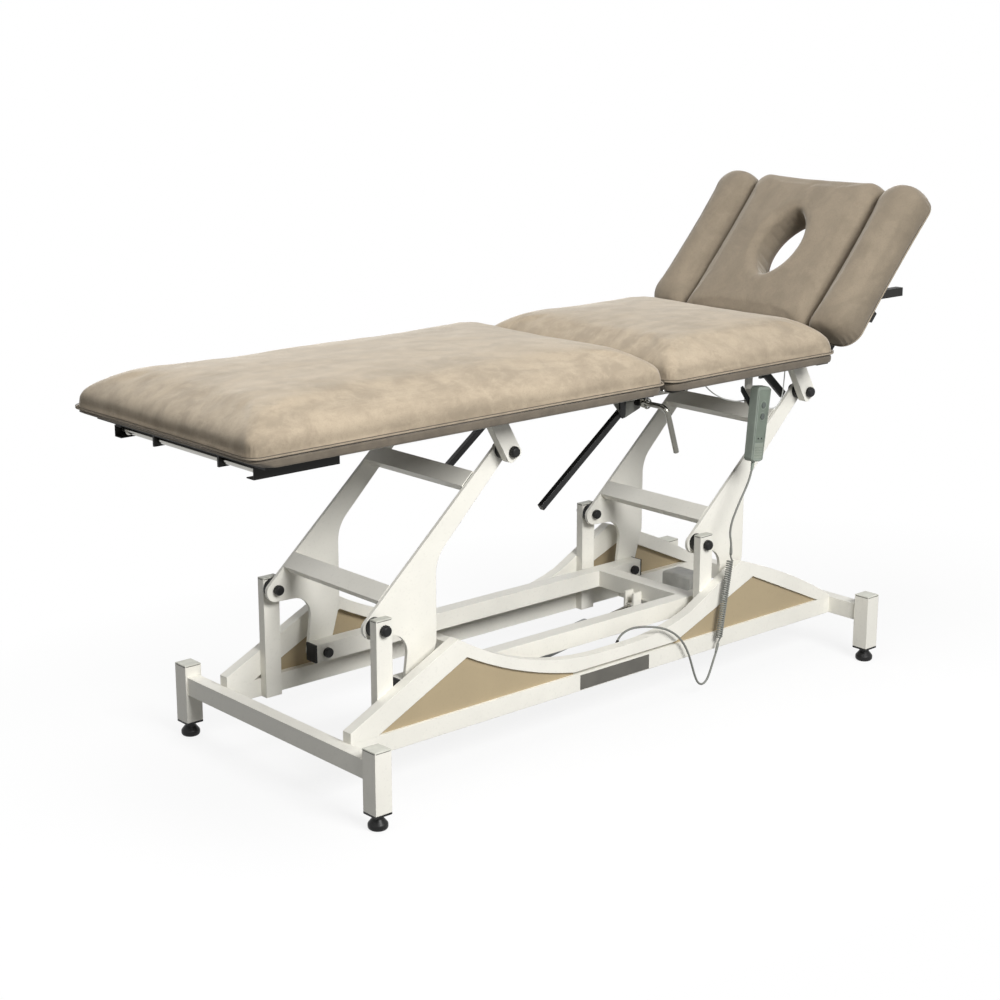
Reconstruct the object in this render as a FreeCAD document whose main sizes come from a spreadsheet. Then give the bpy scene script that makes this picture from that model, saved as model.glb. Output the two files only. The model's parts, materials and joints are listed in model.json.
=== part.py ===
import FreeCAD, Part
import math
import os

# Height adjustable treatment couch. X runs from foot end to head end, Z is up and the handset side is -Y.
# All lengths are millimetres and all angles are degrees.

doc = FreeCAD.newDocument("TreatmentCouch")
sheet = doc.addObject("Spreadsheet::Sheet", "Dimensions")
V = FreeCAD.Vector
DEGREE = math.pi / 180
ACROSS = FreeCAD.Rotation(V(1, 0, 0), -90)
HALF = 0.5
NEAR_SHARE = 0.01


class Size:
    """A length or an angle of the sheet, or a sum or product of some, with the text that binds it."""

    def __init__(self, value, text):
        self.value = value
        self.text = text

    def __add__(self, other):
        return combine(self, other, "+")

    def __radd__(self, other):
        return combine(other, self, "+")

    def __sub__(self, other):
        return combine(self, other, "-")

    def __rsub__(self, other):
        return combine(other, self, "-")

    def __mul__(self, other):
        return combine(self, other, "*")

    def __rmul__(self, other):
        return combine(other, self, "*")

    def __truediv__(self, other):
        return combine(self, other, "/")

    def __neg__(self):
        return Size(-self.value, "(0 - " + self.text + ")")

    def __float__(self):
        return float(self.value)


ZERO = Size(0, "0")


def as_size(item):
    return item if isinstance(item, Size) else Size(item, repr(item))


def combine(left, right, sign):
    left = as_size(left)
    right = as_size(right)
    value = {
        "+": left.value + right.value,
        "-": left.value - right.value,
        "*": left.value * right.value,
        "/": left.value / right.value if right.value else 0,
    }[sign]
    return Size(value, "(" + left.text + " " + sign + " " + right.text + ")")


def cosine(angle):
    return Size(math.cos(angle.value * DEGREE), "cos(" + angle.text + " * 1 deg)")


def sine(angle):
    return Size(math.sin(angle.value * DEGREE), "sin(" + angle.text + " * 1 deg)")


def arctangent(rise, run):
    value = math.degrees(math.atan2(rise.value, run.value))
    return Size(value, "(atan2(" + rise.text + "; " + run.text + ") / 1 deg)")


ROWS = []


def size(alias, value):
    """Write one driving dimension to the sheet and return it."""
    cell = "B" + str(len(ROWS) + 1)
    ROWS.append(alias)
    sheet.set("A" + str(len(ROWS)), alias)
    sheet.set(cell, str(value))
    sheet.setAlias(cell, alias)
    return Size(value, "Dimensions." + alias)


def bind(obj, name, item):
    obj.setExpression(name, as_size(item).text)


# General clearances and small sizes
gap = size("free_gap", 0.3)
run_clearance = size("running_clearance", 0.05)
overrun = size("cut_overrun", 2.0)
wall = size("lug_wall", 6.0)
hinge_shaft_radius = size("hinge_shaft_radius", 7.8)
shaft_overhang = size("hinge_shaft_overhang", 1.2)
tube_wall = size("tube_wall", 2.0)

# Base frame
leg_x = size("leg_centre_x", 749.0)
leg_y = size("leg_centre_y", 332.0)
leg_side = size("leg_side", 40.0)
leg_foot = size("leg_underside_height", 36.0)
leg_top = size("leg_top_height", 164.0)
plug_insert = size("leg_plug_insert", 18.0)
cap_thickness = size("cap_thickness", 3.0)
plug_flange = size("plug_flange", 4.5)
base_low = size("base_tube_underside", 100.0)
base_tall = size("base_tube_height", 40.0)
end_tube_wide = size("end_tube_width", 30.0)
rail_outer = size("rail_outer_y", 229.5)
rail_thick = size("rail_thickness", 25.0)
foot_disc_radius = size("foot_disc_radius", 20.5)
foot_disc_top = size("foot_disc_top_radius", 11.3)
foot_disc_tall = size("foot_disc_height", 30.0)
foot_stem_radius = size("foot_stem_radius", 6.0)
foot_stem_tall = size("foot_stem_height", 66.0)

# Posts and lower pivots
post_wide = size("post_width", 40.0)
post_deep = size("post_depth", 20.0)
post_top = size("post_top_height", 366.0)
foot_pivot_x = size("foot_pivot_x", -627.0)
pivot_spread = size("pivot_spread", 939.0)
pivot_z = size("pivot_height", 346.0)
bolt_radius = size("bolt_radius", 8.0)
knob_radius = size("knob_radius", 11.0)
knob_long = size("knob_length", 13.0)
spacer_radius = size("spacer_radius", 20.0)

# Lifting arms
arm_length = size("arm_length", 463.3)
arm_angle = size("arm_angle", 42.33)
plate_inner = size("arm_plate_inner_y", 162.0)
plate_thick = size("arm_plate_thickness", 8.0)
lug_radius = size("lug_radius", 26.0)
arm_end_radius = size("arm_end_radius", 18.0)
arm_waist = size("arm_lower_offset", 29.0)
knee_reach = size("knee_reach", 163.0)
knee_fillet = size("knee_fillet", 80.0)
heel_drop = size("heel_drop", 65.0)
heel_fillet = size("heel_fillet", 40.0)
tail_x = size("tail_pin_x", 100.0)
tail_z = size("tail_pin_drop", 153.0)
tail_radius = size("tail_radius", 28.0)
throat_x = size("throat_x", 92.0)
throat_drop = size("throat_drop", 30.0)
throat_fillet = size("throat_fillet", 45.0)
arm_tube_wide = size("arm_tube_width", 40.0)
arm_tube_thick = size("arm_tube_thickness", 20.0)
arm_tube_low = size("arm_tube_low_station", 46.0)
arm_tube_high = size("arm_tube_high_station", 344.0)

# Push frame and actuator
push_deep = size("push_bar_depth", 34.5)
push_clearance = size("push_bar_clearance", 0.5)
push_tall = size("push_bar_height", 40.0)
push_end = size("push_bar_end", 25.0)
push_cross_x = size("push_cross_tube_x", 295.0)
push_cross_wide = size("push_cross_tube_width", 40.0)
plug_long = size("push_plug_length", 4.0)
actuator_x = size("actuator_rear_x", -150.0)
actuator_z = size("actuator_rear_z", 94.0)
clevis_x = size("clevis_pin_x", 282.0)
clevis_z = size("clevis_pin_z", 154.0)
eye_radius = size("eye_radius", 13.0)
eye_pin_radius = size("eye_pin_radius", 6.0)
eye_width = size("eye_width", 20.0)
rod_radius = size("rod_radius", 10.0)
housing_radius = size("housing_radius", 24.0)
housing_bore = size("housing_bore_radius", 18.5)
housing_length = size("housing_length", 285.0)
rod_length = size("rod_length", 190.0)
motor_radius = size("motor_radius", 30.0)
motor_length = size("motor_length", 95.0)
cross_member_wide = size("cross_member_width", 30.0)

# Brace bands and panels
band_low_tall = size("band_foot_height", 22.0)
band_peak_x = size("band_foot_peak_x", -456.0)
band_peak_tall = size("band_peak_height", 156.0)
band_sag_x = size("band_sag_x", -286.0)
band_sag_tall = size("band_sag_height", 75.0)
band_flat_from = size("band_flat_from_x", -50.0)
band_flat_to = size("band_flat_to_x", 60.0)
band_flat_tall = size("band_flat_height", 34.0)
band_rise_x = size("band_rise_x", 160.0)
band_rise_tall = size("band_rise_height", 45.0)
band_climb_x = size("band_climb_x", 240.0)
band_climb_tall = size("band_climb_height", 68.0)
band_top_x = size("band_head_peak_x", 405.0)
band_top_tall = size("band_head_peak_height", 154.0)
band_slope_x = size("band_slope_x", 546.0)
band_slope_tall = size("band_slope_height", 102.0)
band_tip_tall = size("band_tip_height", 6.0)
panel_start_x = size("panel_foot_start_x", -666.0)
panel_peak_x = size("panel_foot_peak_x", -432.0)
panel_peak_tall = size("panel_peak_height", 112.0)
panel_sag_x = size("panel_sag_x", -257.0)
panel_sag_tall = size("panel_sag_height", 39.0)
panel_tip_x = size("panel_tip_x", -125.0)
panel_tip_tall = size("panel_tip_height", 6.0)
panel_head_x = size("panel_head_start_x", 190.0)
panel_top_x = size("panel_head_peak_x", 449.0)
panel_top_tall = size("panel_head_peak_height", 109.0)
panel_end_x = size("panel_head_end_x", 691.0)
panel_thick = size("panel_thickness", 3.0)
panel_recess = size("panel_recess", 6.0)
name_plate_x = size("name_plate_x", -109.0)
name_plate_long = size("name_plate_length", 212.0)
name_plate_tall = size("name_plate_height", 33.0)
name_plate_thick = size("name_plate_thickness", 1.5)
name_plate_drop = size("name_plate_drop", 4.5)

# Control box on its own cross member, and the gland of the cord
control_x = size("control_box_x", 431.0)
control_long = size("control_box_length", 59.0)
control_half = size("control_box_half_width", 45.0)
control_tall = size("control_box_height", 66.0)
gland_x = size("gland_x", 38.0)
gland_side = size("gland_side", 20.0)
gland_deep = size("gland_depth", 30.0)
gland_top = size("gland_top_height", 151.0)

# Upper frame
bracket_rise = size("bracket_rise", 60.014)
frame_tall = size("upper_frame_height", 25.0)
frame_rail_wide = size("upper_rail_width", 30.0)
frame_foot_x = size("upper_rail_foot_x", -815.0)
frame_head_x = size("upper_rail_head_x", 640.0)
frame_cross_wide = size("upper_cross_width", 30.0)
frame_mid_cross = size("upper_mid_cross_x", 112.0)
head_cross_setback = size("head_cross_setback", 80.0)
bracket_lean = size("bracket_lean", 30.0)
bracket_wide = size("bracket_width", 40.0)
bracket_below = size("bracket_below_pivot", 20.0)
channel_outer = size("channel_outer_y", 243.0)
channel_wide = size("channel_width", 24.0)
channel_from = size("channel_foot_x", -951.0)
channel_to = size("channel_head_x", -756.0)
channel_tall = size("channel_height", 24.0)
channel_wall = size("channel_wall", 2.0)
channel_drop = size("channel_drop", 4.0)
roller_radius = size("roller_radius", 9.0)
roller_wide = size("roller_width", 15.0)
axle_radius = size("axle_radius", 6.0)
axle_setback = size("axle_setback", 21.0)
axle_lug_half = size("axle_lug_half_width", 12.0)

# Boards and cushions
board_thick = size("board_thickness", 16.0)
cushion_half = size("cushion_half_width", 317.6)
board_inset = size("board_inset", 12.0)
board_corner = size("board_corner_radius", 30.0)
foot_edge = size("foot_edge_x", -1007.6)
crease_x = size("crease_x", 64.0)
crease_gap = size("crease_gap", 4.0)
mid_edge_setback = size("mid_edge_setback", 32.0)
cushion_thick = size("cushion_crown_thickness", 94.0)
cushion_corner = size("cushion_corner_radius", 42.0)
side_draw = size("cushion_side_draw", 2.4)
batten_thick = size("batten_thickness", 5.7)
batten_inner = size("batten_inner_y", 110.0)
batten_wide = size("batten_width", 40.0)
batten_end_inset = size("batten_end_inset", 12.0)
leg_frame_setback = size("leg_frame_setback", 47.6)
crease_setback = size("crease_setback", 28.0)
crease_axis_drop = size("crease_axis_drop", 13.0)
knuckle_clearance = size("knuckle_clearance", 0.6)
knuckle_radius = size("knuckle_radius", 7.0)
hinge_pin_radius = size("hinge_pin_radius", 4.0)

# Head section, in its own frame: along the section from the hinge, and square to it
hinge_reach = size("head_hinge_reach", 16.0)
hinge_rise = size("head_hinge_rise", 5.0)
head_tilt = size("head_tilt", 48.2)
head_from = size("head_cushion_from", 26.0)
head_to = size("head_cushion_to", 461.0)
head_board_from = size("head_board_from", 34.0)
head_board_to = size("head_board_to", 451.0)
head_half = size("head_half_width", 196.0)
head_corner = size("head_corner_radius", 26.0)
rest_corner = size("rest_corner_radius", 40.0)
wing_gap = size("wing_gap", 3.0)
head_thick = size("head_cushion_thickness", 70.0)
head_board_h = size("head_board_offset", -5.0)
hole_centre = size("face_hole_centre", 250.0)
hole_half_long = size("face_hole_half_length", 92.0)
hole_half_wide = size("face_hole_half_width", 54.0)
hole_tip_radius = size("face_hole_tip_radius", 22.0)
hole_board_margin = size("face_hole_board_margin", 6.0)
hinge_tube_radius = size("hinge_tube_radius", 9.0)
head_bar_side = size("head_bar_side", 20.0)
head_bar_y = size("head_bar_y", 90.0)
head_bar_to = size("head_bar_to", 420.0)
rest_bar_y = size("rest_bar_y", 262.0)
rest_bar_from = size("rest_bar_from", 70.0)
rest_hinge_y = size("rest_hinge_y", 220.0)
rest_bar_to = size("rest_bar_to", 300.0)
rest_stub_at = size("rest_stub_station", 176.5)
rest_stub_long = size("rest_stub_length", 105.0)
rest_stub_side = size("rest_stub_side", 20.0)
rest_stop_at = size("rest_stop_station", 132.0)
rest_stop_long = size("rest_stop_length", 26.0)
rest_stop_deep = size("rest_stop_depth", 26.0)

# Levers and handles under the top
lever_setback = size("lever_shaft_setback", 26.0)
lever_drop = size("lever_shaft_drop", 9.0)
lever_shaft_radius = size("lever_shaft_radius", 7.0)
lever_angle = size("lever_angle", 36.8)
lever_long = size("lever_length", 315.0)
lever_y = size("lever_bar_y", 172.0)
lever_thick = size("lever_bar_thickness", 12.0)
lever_wide = size("lever_bar_width", 14.0)
lever_tip_long = size("lever_tip_length", 12.0)
shaft_front = size("lever_shaft_front_y", 212.0)
hanger_y = size("hanger_y", 188.0)
hanger_thick = size("hanger_thickness", 5.0)
hanger_reach = size("hanger_reach", 14.0)
lever_shaft_tail = size("lever_shaft_tail", 20.0)
handle_radius = size("handle_radius", 5.5)
handle_reach = size("handle_reach", 70.0)
handle_long = size("handle_length", 114.0)
handle_bend = size("handle_bend_radius", 17.0)
handle_angle = size("handle_angle", 18.0)
collar_radius = size("handle_collar_radius", 11.0)
collar_long = size("handle_collar_length", 9.0)
head_lever_drop = size("head_lever_drop", 12.0)
head_lever_y = size("head_lever_y", -150.0)
head_lever_angle = size("head_lever_angle", 42.0)
head_lever_long = size("head_lever_length", 88.0)
head_lever_wide = size("head_lever_width", 18.0)
head_hanger_half = size("head_hanger_half_width", 12.0)
head_lever_thick = size("head_lever_thickness", 8.0)

# Handset and its hook
handset_y = size("handset_back_y", -232.5)
handset_deep = size("handset_depth", 24.0)
handset_drop = size("handset_drop", 12.0)
handset_top_x = size("handset_top_x", 438.0)
handset_long = size("handset_length", 173.0)
handset_wide = size("handset_width", 44.0)
handset_narrow = size("handset_narrow_width", 37.0)
handset_lean = size("handset_lean", 6.6)
handset_corner = size("handset_corner_radius", 9.0)
hook_wide = size("hook_width", 24.0)
hook_thick = size("hook_thickness", 3.0)
button_radius = size("button_radius", 6.5)
button_proud = size("button_proud", 2.5)
button_pocket = size("button_pocket_depth", 5.0)
button_long = size("button_length", 4.1)
button_first = size("button_first_station", 42.0)
button_pitch = size("button_pitch", 26.0)

# Handset cord
cord_radius = size("cord_radius", 2.5)
coil_radius = size("coil_outer_radius", 8.2)
coil_wire = size("coil_wire_radius", 1.9)
cord_end_gap = size("cord_end_gap", 0.4)
COIL_TURNS = 36

# Places that follow from the sizes
head_pivot_x = foot_pivot_x + pivot_spread
top_dx = arm_length * cosine(arm_angle)
top_dz = arm_length * sine(arm_angle)
rail_inner = rail_outer - rail_thick
base_top = base_low + base_tall
post_inner = rail_inner - post_deep
plate_outer = plate_inner + plate_thick
bracket_outer = rail_inner
bracket_inner = bracket_outer - post_deep
frame_low = pivot_z + top_dz + bracket_rise
frame_top = frame_low + frame_tall
frame_head_cross = frame_head_x - head_cross_setback
board_low = frame_top + batten_thick + gap
board_top = board_low + board_thick
hinge_x = frame_head_x + hinge_reach
hinge_z = board_low + hinge_rise
mid_edge = hinge_x - mid_edge_setback
leg_frame_foot = foot_edge + leg_frame_setback
leg_frame_head = crease_x - crease_setback
mid_frame_foot = crease_x + crease_setback
mid_frame_head = mid_edge - board_inset
crease_axis_z = board_low - crease_axis_drop
channel_low = frame_low - channel_drop
axle_x = channel_from + axle_setback
lever_x = frame_mid_cross - lever_setback
lever_z = frame_low - lever_drop
head_lever_x = frame_head_cross
head_lever_z = frame_low - head_lever_drop
handset_top_z = frame_low - handset_drop
board_half = cushion_half - board_inset
end_inner = leg_x - end_tube_wide * HALF
push_inner = plate_inner - push_clearance - push_deep
tail_height = pivot_z - tail_z
axle_z = channel_low + channel_tall * HALF

# The couch stands with the middle of its box at the origin
head_reach = hinge_x + head_board_to * cosine(head_tilt) - head_board_h * sine(head_tilt)
shift = -(foot_edge + head_reach) * HALF

PARTS = []


def keep(obj, label):
    """Register a finished sub-part under its own name."""
    obj.Label = label
    PARTS.append(obj)
    return obj


def place(obj, x, y, z):
    bind(obj, "Placement.Base.x", x)
    bind(obj, "Placement.Base.y", y)
    bind(obj, "Placement.Base.z", z)


def box(x_from, x_to, y_from, y_to, z_from, z_to):
    obj = doc.addObject("Part::Box", "Block")
    bind(obj, "Length", x_to - x_from)
    bind(obj, "Width", y_to - y_from)
    bind(obj, "Height", z_to - z_from)
    place(obj, x_from, y_from, z_from)
    return obj


def tube(x_from, x_to, y_from, y_to, z_from, z_to, along):
    """A square tube, open at both ends, that runs along X, Y or Z."""
    lows = [x_from, y_from, z_from]
    highs = [x_to, y_to, z_to]
    inside = []
    for n in range(len(lows)):
        step = -overrun if n == along else tube_wall
        inside += [lows[n] + step, highs[n] - step]
    return less(box(x_from, x_to, y_from, y_to, z_from, z_to), [box(*inside)])


X_WAY, Y_WAY, Z_WAY = range(3)


def rod_across(radius, x, z, y_from, y_to):
    """A round bar along Y."""
    obj = doc.addObject("Part::Cylinder", "Bar")
    obj.Placement = FreeCAD.Placement(V(), ACROSS)
    bind(obj, "Radius", radius)
    bind(obj, "Height", y_to - y_from)
    place(obj, x, y_from, z)
    return obj


def rod_up(radius, x, y, z_from, z_to):
    obj = doc.addObject("Part::Cylinder", "Stem")
    bind(obj, "Radius", radius)
    bind(obj, "Height", z_to - z_from)
    place(obj, x, y, z_from)
    return obj


def both(y_from, y_to):
    """The same stretch of Y on both sides, as (from, to) pairs."""
    return [(y_from, y_to), (-as_size(y_to), -as_size(y_from))]


def group(items):
    obj = doc.addObject("Part::Compound", "Group")
    obj.Links = items
    return obj


def joined(items):
    obj = doc.addObject("Part::MultiFuse", "Joined")
    obj.Shapes = items
    obj.Refine = True
    return obj


def less(base, tools):
    obj = doc.addObject("Part::Cut", "Less")
    obj.Base = base
    obj.Tool = tools[0] if len(tools) == 1 else group(tools)
    return obj


def stand(obj, label, x=0, y=0, z=0, angle=None):
    """Put a piece drawn about its own reference into the couch, turned about Y if it has an angle."""
    if angle is not None:
        obj.Placement = FreeCAD.Placement(V(), FreeCAD.Rotation(V(0, -1, 0), 1))
        bind(obj, "Placement.Rotation.Angle", angle * Size(1, "1 deg"))
    place(obj, shift + x, y, z)
    return keep(obj, label)


def lying(points, radii, y):
    """A closed outline in an XZ plane through the points, with each corner rounded by its own radius."""
    edges = []
    count = len(points)
    starts = []
    ends = []
    for n, corner in enumerate(points):
        before = points[n - 1] - corner
        after = points[(n + 1) % count] - corner
        radius = radii[n]
        if not radius:
            starts.append(corner)
            ends.append(corner)
            continue
        before.normalize()
        after.normalize()
        half = before.getAngle(after) * HALF
        reach = radius / math.tan(half)
        first = corner + before * reach
        last = corner + after * reach
        middle = (before + after).normalize()
        mid = corner + middle * (radius / math.sin(half) - radius)
        starts.append(first)
        ends.append(last)
        edges.append((n, Part.Arc(first, mid, last).toShape()))
    loop = []
    arcs = dict(edges)
    for n in range(count):
        if n in arcs:
            loop.append(arcs[n])
        line_from = ends[n]
        line_to = starts[(n + 1) % count]
        if line_from.distanceToPoint(line_to) > float(gap) * NEAR_SHARE:
            loop.append(Part.LineSegment(line_from, line_to).toShape())
    wire = Part.Wire(loop)
    wire.translate(V(0, float(y), 0))
    return wire


def plate(points, radii, y_from, y_to):
    """A flat plate cut to an outline in XZ, between two values of Y."""
    outline = lying([V(float(x), 0, float(z)) for x, z in points], [float(r) for r in radii], y_from)
    return Part.Face(outline).extrude(V(0, float(y_to) - float(y_from), 0))


def feature(shape):
    obj = doc.addObject("Part::Feature", "Shaped")
    obj.Shape = shape
    return obj


def sketched(outlines, depth, x=0, y=0, z=0):
    """A body padded from a sketch in the XZ plane. Each outline is a list of lines and arcs."""
    body = doc.addObject("PartDesign::Body", "Body")
    plane = [item for item in body.Origin.OriginFeatures if item.Role == "XZ_Plane"][0]
    sketch = body.newObject("Sketcher::SketchObject", "Outline")
    sketch.AttachmentSupport = [(plane, "")]
    sketch.MapMode = "FlatFace"
    for outline in outlines:
        for curve in outline:
            sketch.addGeometry(curve, False)
    pad = body.newObject("PartDesign::Pad", "Pad")
    pad.Profile = sketch
    bind(pad, "Length", depth)
    sketch.Visibility = False
    place(body, x, y, z)
    return body


def chain(points, arcs):
    """Lines through the points of a closed outline, bent through a point that arcs names for the stretch."""
    curves = []
    flat = [V(float(x), float(z), 0) for x, z in points]
    for n, start in enumerate(flat):
        end = flat[(n + 1) % len(flat)]
        if n in arcs:
            x, z = arcs[n]
            curves.append(Part.Arc(start, V(float(x), float(z), 0), end))
        else:
            curves.append(Part.LineSegment(start, end))
    return curves


def base_frame():
    rails = [tube(-end_inner, end_inner, a, b, base_low, base_top, X_WAY)
             for a, b in both(rail_inner, rail_outer)]
    stand(group(rails), "side_rails")
    leg_inner_y = leg_y - leg_side * HALF
    ends = []
    for side in (-1, 1):
        middle = leg_x * side
        ends.append(tube(middle - end_tube_wide * HALF, middle + end_tube_wide * HALF,
                         -leg_inner_y, leg_inner_y, base_low, base_top, Y_WAY))
    stand(group(ends), "end_tubes")
    corners = [(leg_x * a, leg_y * b) for a in (-1, 1) for b in (-1, 1)]
    half = leg_side * HALF
    legs = []
    caps = []
    plugs = []
    for x, y in corners:
        legs.append(tube(x - half, x + half, y - half, y + half, leg_foot, leg_top, Z_WAY))
        cap = box(x - half, x + half, y - half, y + half, leg_top, leg_top + cap_thickness)
        caps.append(eased(cap, cap_thickness * HALF))
        flange = box(x - half, x + half, y - half, y + half, leg_foot - plug_flange, leg_foot)
        inner = half - tube_wall - run_clearance
        insert = box(x - inner, x + inner, y - inner, y + inner,
                     leg_foot - plug_flange, leg_foot + plug_insert)
        hole = rod_up(foot_stem_radius + run_clearance, x, y, leg_foot - plug_flange - overrun,
                      leg_foot + plug_insert + overrun)
        plugs.append(less(joined([flange, insert]), [hole]))
    stand(group(legs), "corner_legs")
    stand(group(plugs), "leg_plugs")
    posts = []
    for x in (foot_pivot_x, head_pivot_x):
        for a, b in both(post_inner, rail_inner):
            upright = tube(x - post_wide * HALF, x + post_wide * HALF, a, b, base_low, post_top, Z_WAY)
            hole = rod_across(bolt_radius + run_clearance, x, pivot_z, a - overrun, b + overrun)
            posts.append(less(upright, [hole]))
            cap = box(x - post_wide * HALF, x + post_wide * HALF, a, b, post_top, post_top + cap_thickness)
            caps.append(eased(cap, cap_thickness * HALF))
    stand(group(posts), "lift_posts")
    stand(group(caps), "tube_caps")
    for n, (x, y) in enumerate(corners):
        disc = feature(foot_disc())
        place(disc, x, y, 0)
        stem = rod_up(foot_stem_radius, x, y, foot_disc_tall * HALF, foot_stem_tall)
        stand(joined([disc, stem]), "levelling_foot_" + str(n + 1))


FOOT_SHOULDER_SHARE = 0.42
FOOT_NECK_SHARE = 0.8
FOOT_ROUND_SHARE = 0.35


def foot_disc():
    """The moulded foot of a levelling screw: flat below, round at its rim and drawn in to a neck."""
    shoulder = foot_disc_tall * FOOT_SHOULDER_SHARE
    neck = foot_disc_tall * FOOT_NECK_SHARE
    round_off = float(foot_disc_radius) * FOOT_ROUND_SHARE
    profile = [(ZERO, ZERO), (foot_disc_radius, ZERO), (foot_disc_radius, shoulder), (foot_disc_top, neck),
               (foot_disc_top, foot_disc_tall), (ZERO, foot_disc_tall)]
    points = [V(float(x), 0, float(z)) for x, z in profile]
    outline = lying(points, [0, round_off, round_off, round_off, 0, 0], 0)
    return Part.Face(outline).revolve(V(0, 0, 0), V(0, 0, 1), 360)


def eased(block, radius):
    """The block with its four top edges rounded."""
    obj = doc.addObject("Part::Fillet", "Eased")
    obj.Base = block
    doc.recompute()
    top = block.Shape.BoundBox.ZMax
    picked = []
    for n, edge in enumerate(block.Shape.Edges):
        if min(vertex.Z for vertex in edge.Vertexes) > top - float(gap):
            picked.append((n + 1, float(radius), float(radius)))
    obj.Edges = picked
    return obj


def pivot_bolt(x, z, y_in, y_out, side):
    """A shouldered bolt from the inner knob to the outer one. Y counts outwards on the given side."""
    def stretch(radius, near, far):
        a = near * side
        b = far * side
        return rod_across(radius, x, z, a, b) if side > 0 else rod_across(radius, x, z, b, a)

    shaft = stretch(bolt_radius, y_in - knob_long * HALF, y_out + knob_long * HALF)
    outer = stretch(knob_radius, y_out, y_out + knob_long)
    inner = stretch(knob_radius, y_in - gap - knob_long, y_in - gap)
    shoulder = stretch(spacer_radius, plate_outer + gap, post_inner)
    return joined([shaft, domed(outer), domed(inner), shoulder])


KNOB_ROUND_SHARE = 0.35


def domed(cylinder):
    """The knob with both rims rounded."""
    obj = doc.addObject("Part::Fillet", "Domed")
    obj.Base = cylinder
    doc.recompute()
    rims = [n + 1 for n, edge in enumerate(cylinder.Shape.Edges) if edge.Closed and len(edge.Vertexes) == 1]
    radius = float(knob_radius) * KNOB_ROUND_SHARE
    obj.Edges = [(n, radius, radius) for n in rims]
    return obj


def pivots():
    low = [pivot_bolt(x, pivot_z, plate_inner, rail_inner, side)
           for x in (foot_pivot_x, head_pivot_x) for side in (-1, 1)]
    stand(group(low), "pivot_bolts")
    high = [pivot_bolt(x + top_dx, pivot_z + top_dz, plate_inner, rail_inner, side)
            for x in (foot_pivot_x, head_pivot_x) for side in (-1, 1)]
    stand(group(high), "top_pivot_bolts")


def band_outline():
    """The long curved brace over a side rail: foot diagonal, hanging curve, head diagonal and slope."""
    top = base_top
    points = [
        (-end_inner, top), (-end_inner, top + band_low_tall), (band_peak_x, top + band_peak_tall),
        (band_flat_from, top + band_flat_tall), (band_flat_to, top + band_flat_tall),
        (band_climb_x, top + band_climb_tall), (band_top_x, top + band_top_tall),
        (end_inner, top + band_tip_tall), (end_inner, top), (panel_end_x, top),
        (panel_top_x, top + panel_top_tall), (panel_head_x, top + panel_tip_tall),
        (panel_tip_x, top + panel_tip_tall), (panel_peak_x, top + panel_peak_tall), (panel_start_x, top),
    ]
    arcs = {
        2: (band_sag_x, top + band_sag_tall),
        4: (band_rise_x, top + band_rise_tall),
        6: (band_slope_x, top + band_slope_tall),
        12: (panel_sag_x, top + panel_sag_tall),
    }
    return chain(points, arcs)


def braces():
    bands = [sketched([band_outline()], rail_thick, 0, y, 0) for y in (-rail_inner, rail_outer)]
    stand(group(bands), "brace_bands")
    top = base_top
    foot = chain([(panel_start_x, top), (panel_peak_x, top + panel_peak_tall),
                  (panel_tip_x, top + panel_tip_tall), (panel_tip_x, top)],
                 {1: (panel_sag_x, top + panel_sag_tall)})
    head = chain([(panel_head_x, top), (panel_head_x, top + panel_tip_tall),
                  (panel_top_x, top + panel_top_tall), (panel_end_x, top)], {})
    panels = []
    for outline in (foot, head):
        panels.append(sketched([outline], panel_thick, 0, -rail_outer + panel_recess + panel_thick, 0))
        panels.append(sketched([outline], panel_thick, 0, rail_outer - panel_recess, 0))
    stand(group(panels), "infill_panels")
    low = base_top - name_plate_drop - name_plate_tall
    stand(box(name_plate_x, name_plate_x + name_plate_long, -rail_outer - name_plate_thick, -rail_outer,
              low, low + name_plate_tall), "name_plate", name_plate_x, -rail_outer - name_plate_thick, low)


FLANK_ROUND_SHARE = 0.9
SHOULDER_ROUND_SHARE = 0.6
END_ROUND_SHARE = 0.95


def arm_outline():
    """The bell crank plate about its lower pivot: lug, arm to the top pivot, knee and tail."""
    c = cosine(arm_angle).value
    s = sine(arm_angle).value

    def along(station, offset):
        return (station * c - offset * s, station * s + offset * c)

    lug = float(lug_radius)
    end = float(arm_end_radius)
    long = float(arm_length)
    upper = lug - (lug - end) * HALF
    left_z = (upper - lug * s) / c
    waist_start = along(long + end, -end)
    knee = float(knee_reach)
    waist = float(arm_waist)
    knee_z = (knee * s - waist) / c
    tail_low = -float(tail_z) - float(tail_radius)
    points = [
        (-lug, -lug), (-lug, left_z), along(long + end, end), waist_start,
        (knee, knee_z), (knee, -float(heel_drop)),
        (float(tail_x) + float(tail_radius), tail_low), (float(tail_x) - float(tail_radius), tail_low),
        (float(throat_x), -float(throat_drop)),
    ]
    lug_fillet = lug * FLANK_ROUND_SHARE
    end_fillet = end * END_ROUND_SHARE
    tail_fillet = float(tail_radius) * END_ROUND_SHARE
    radii = [lug_fillet, lug * SHOULDER_ROUND_SHARE, end_fillet, end_fillet, knee_fillet, heel_fillet,
             tail_fillet, tail_fillet, throat_fillet]
    return points, radii


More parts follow.
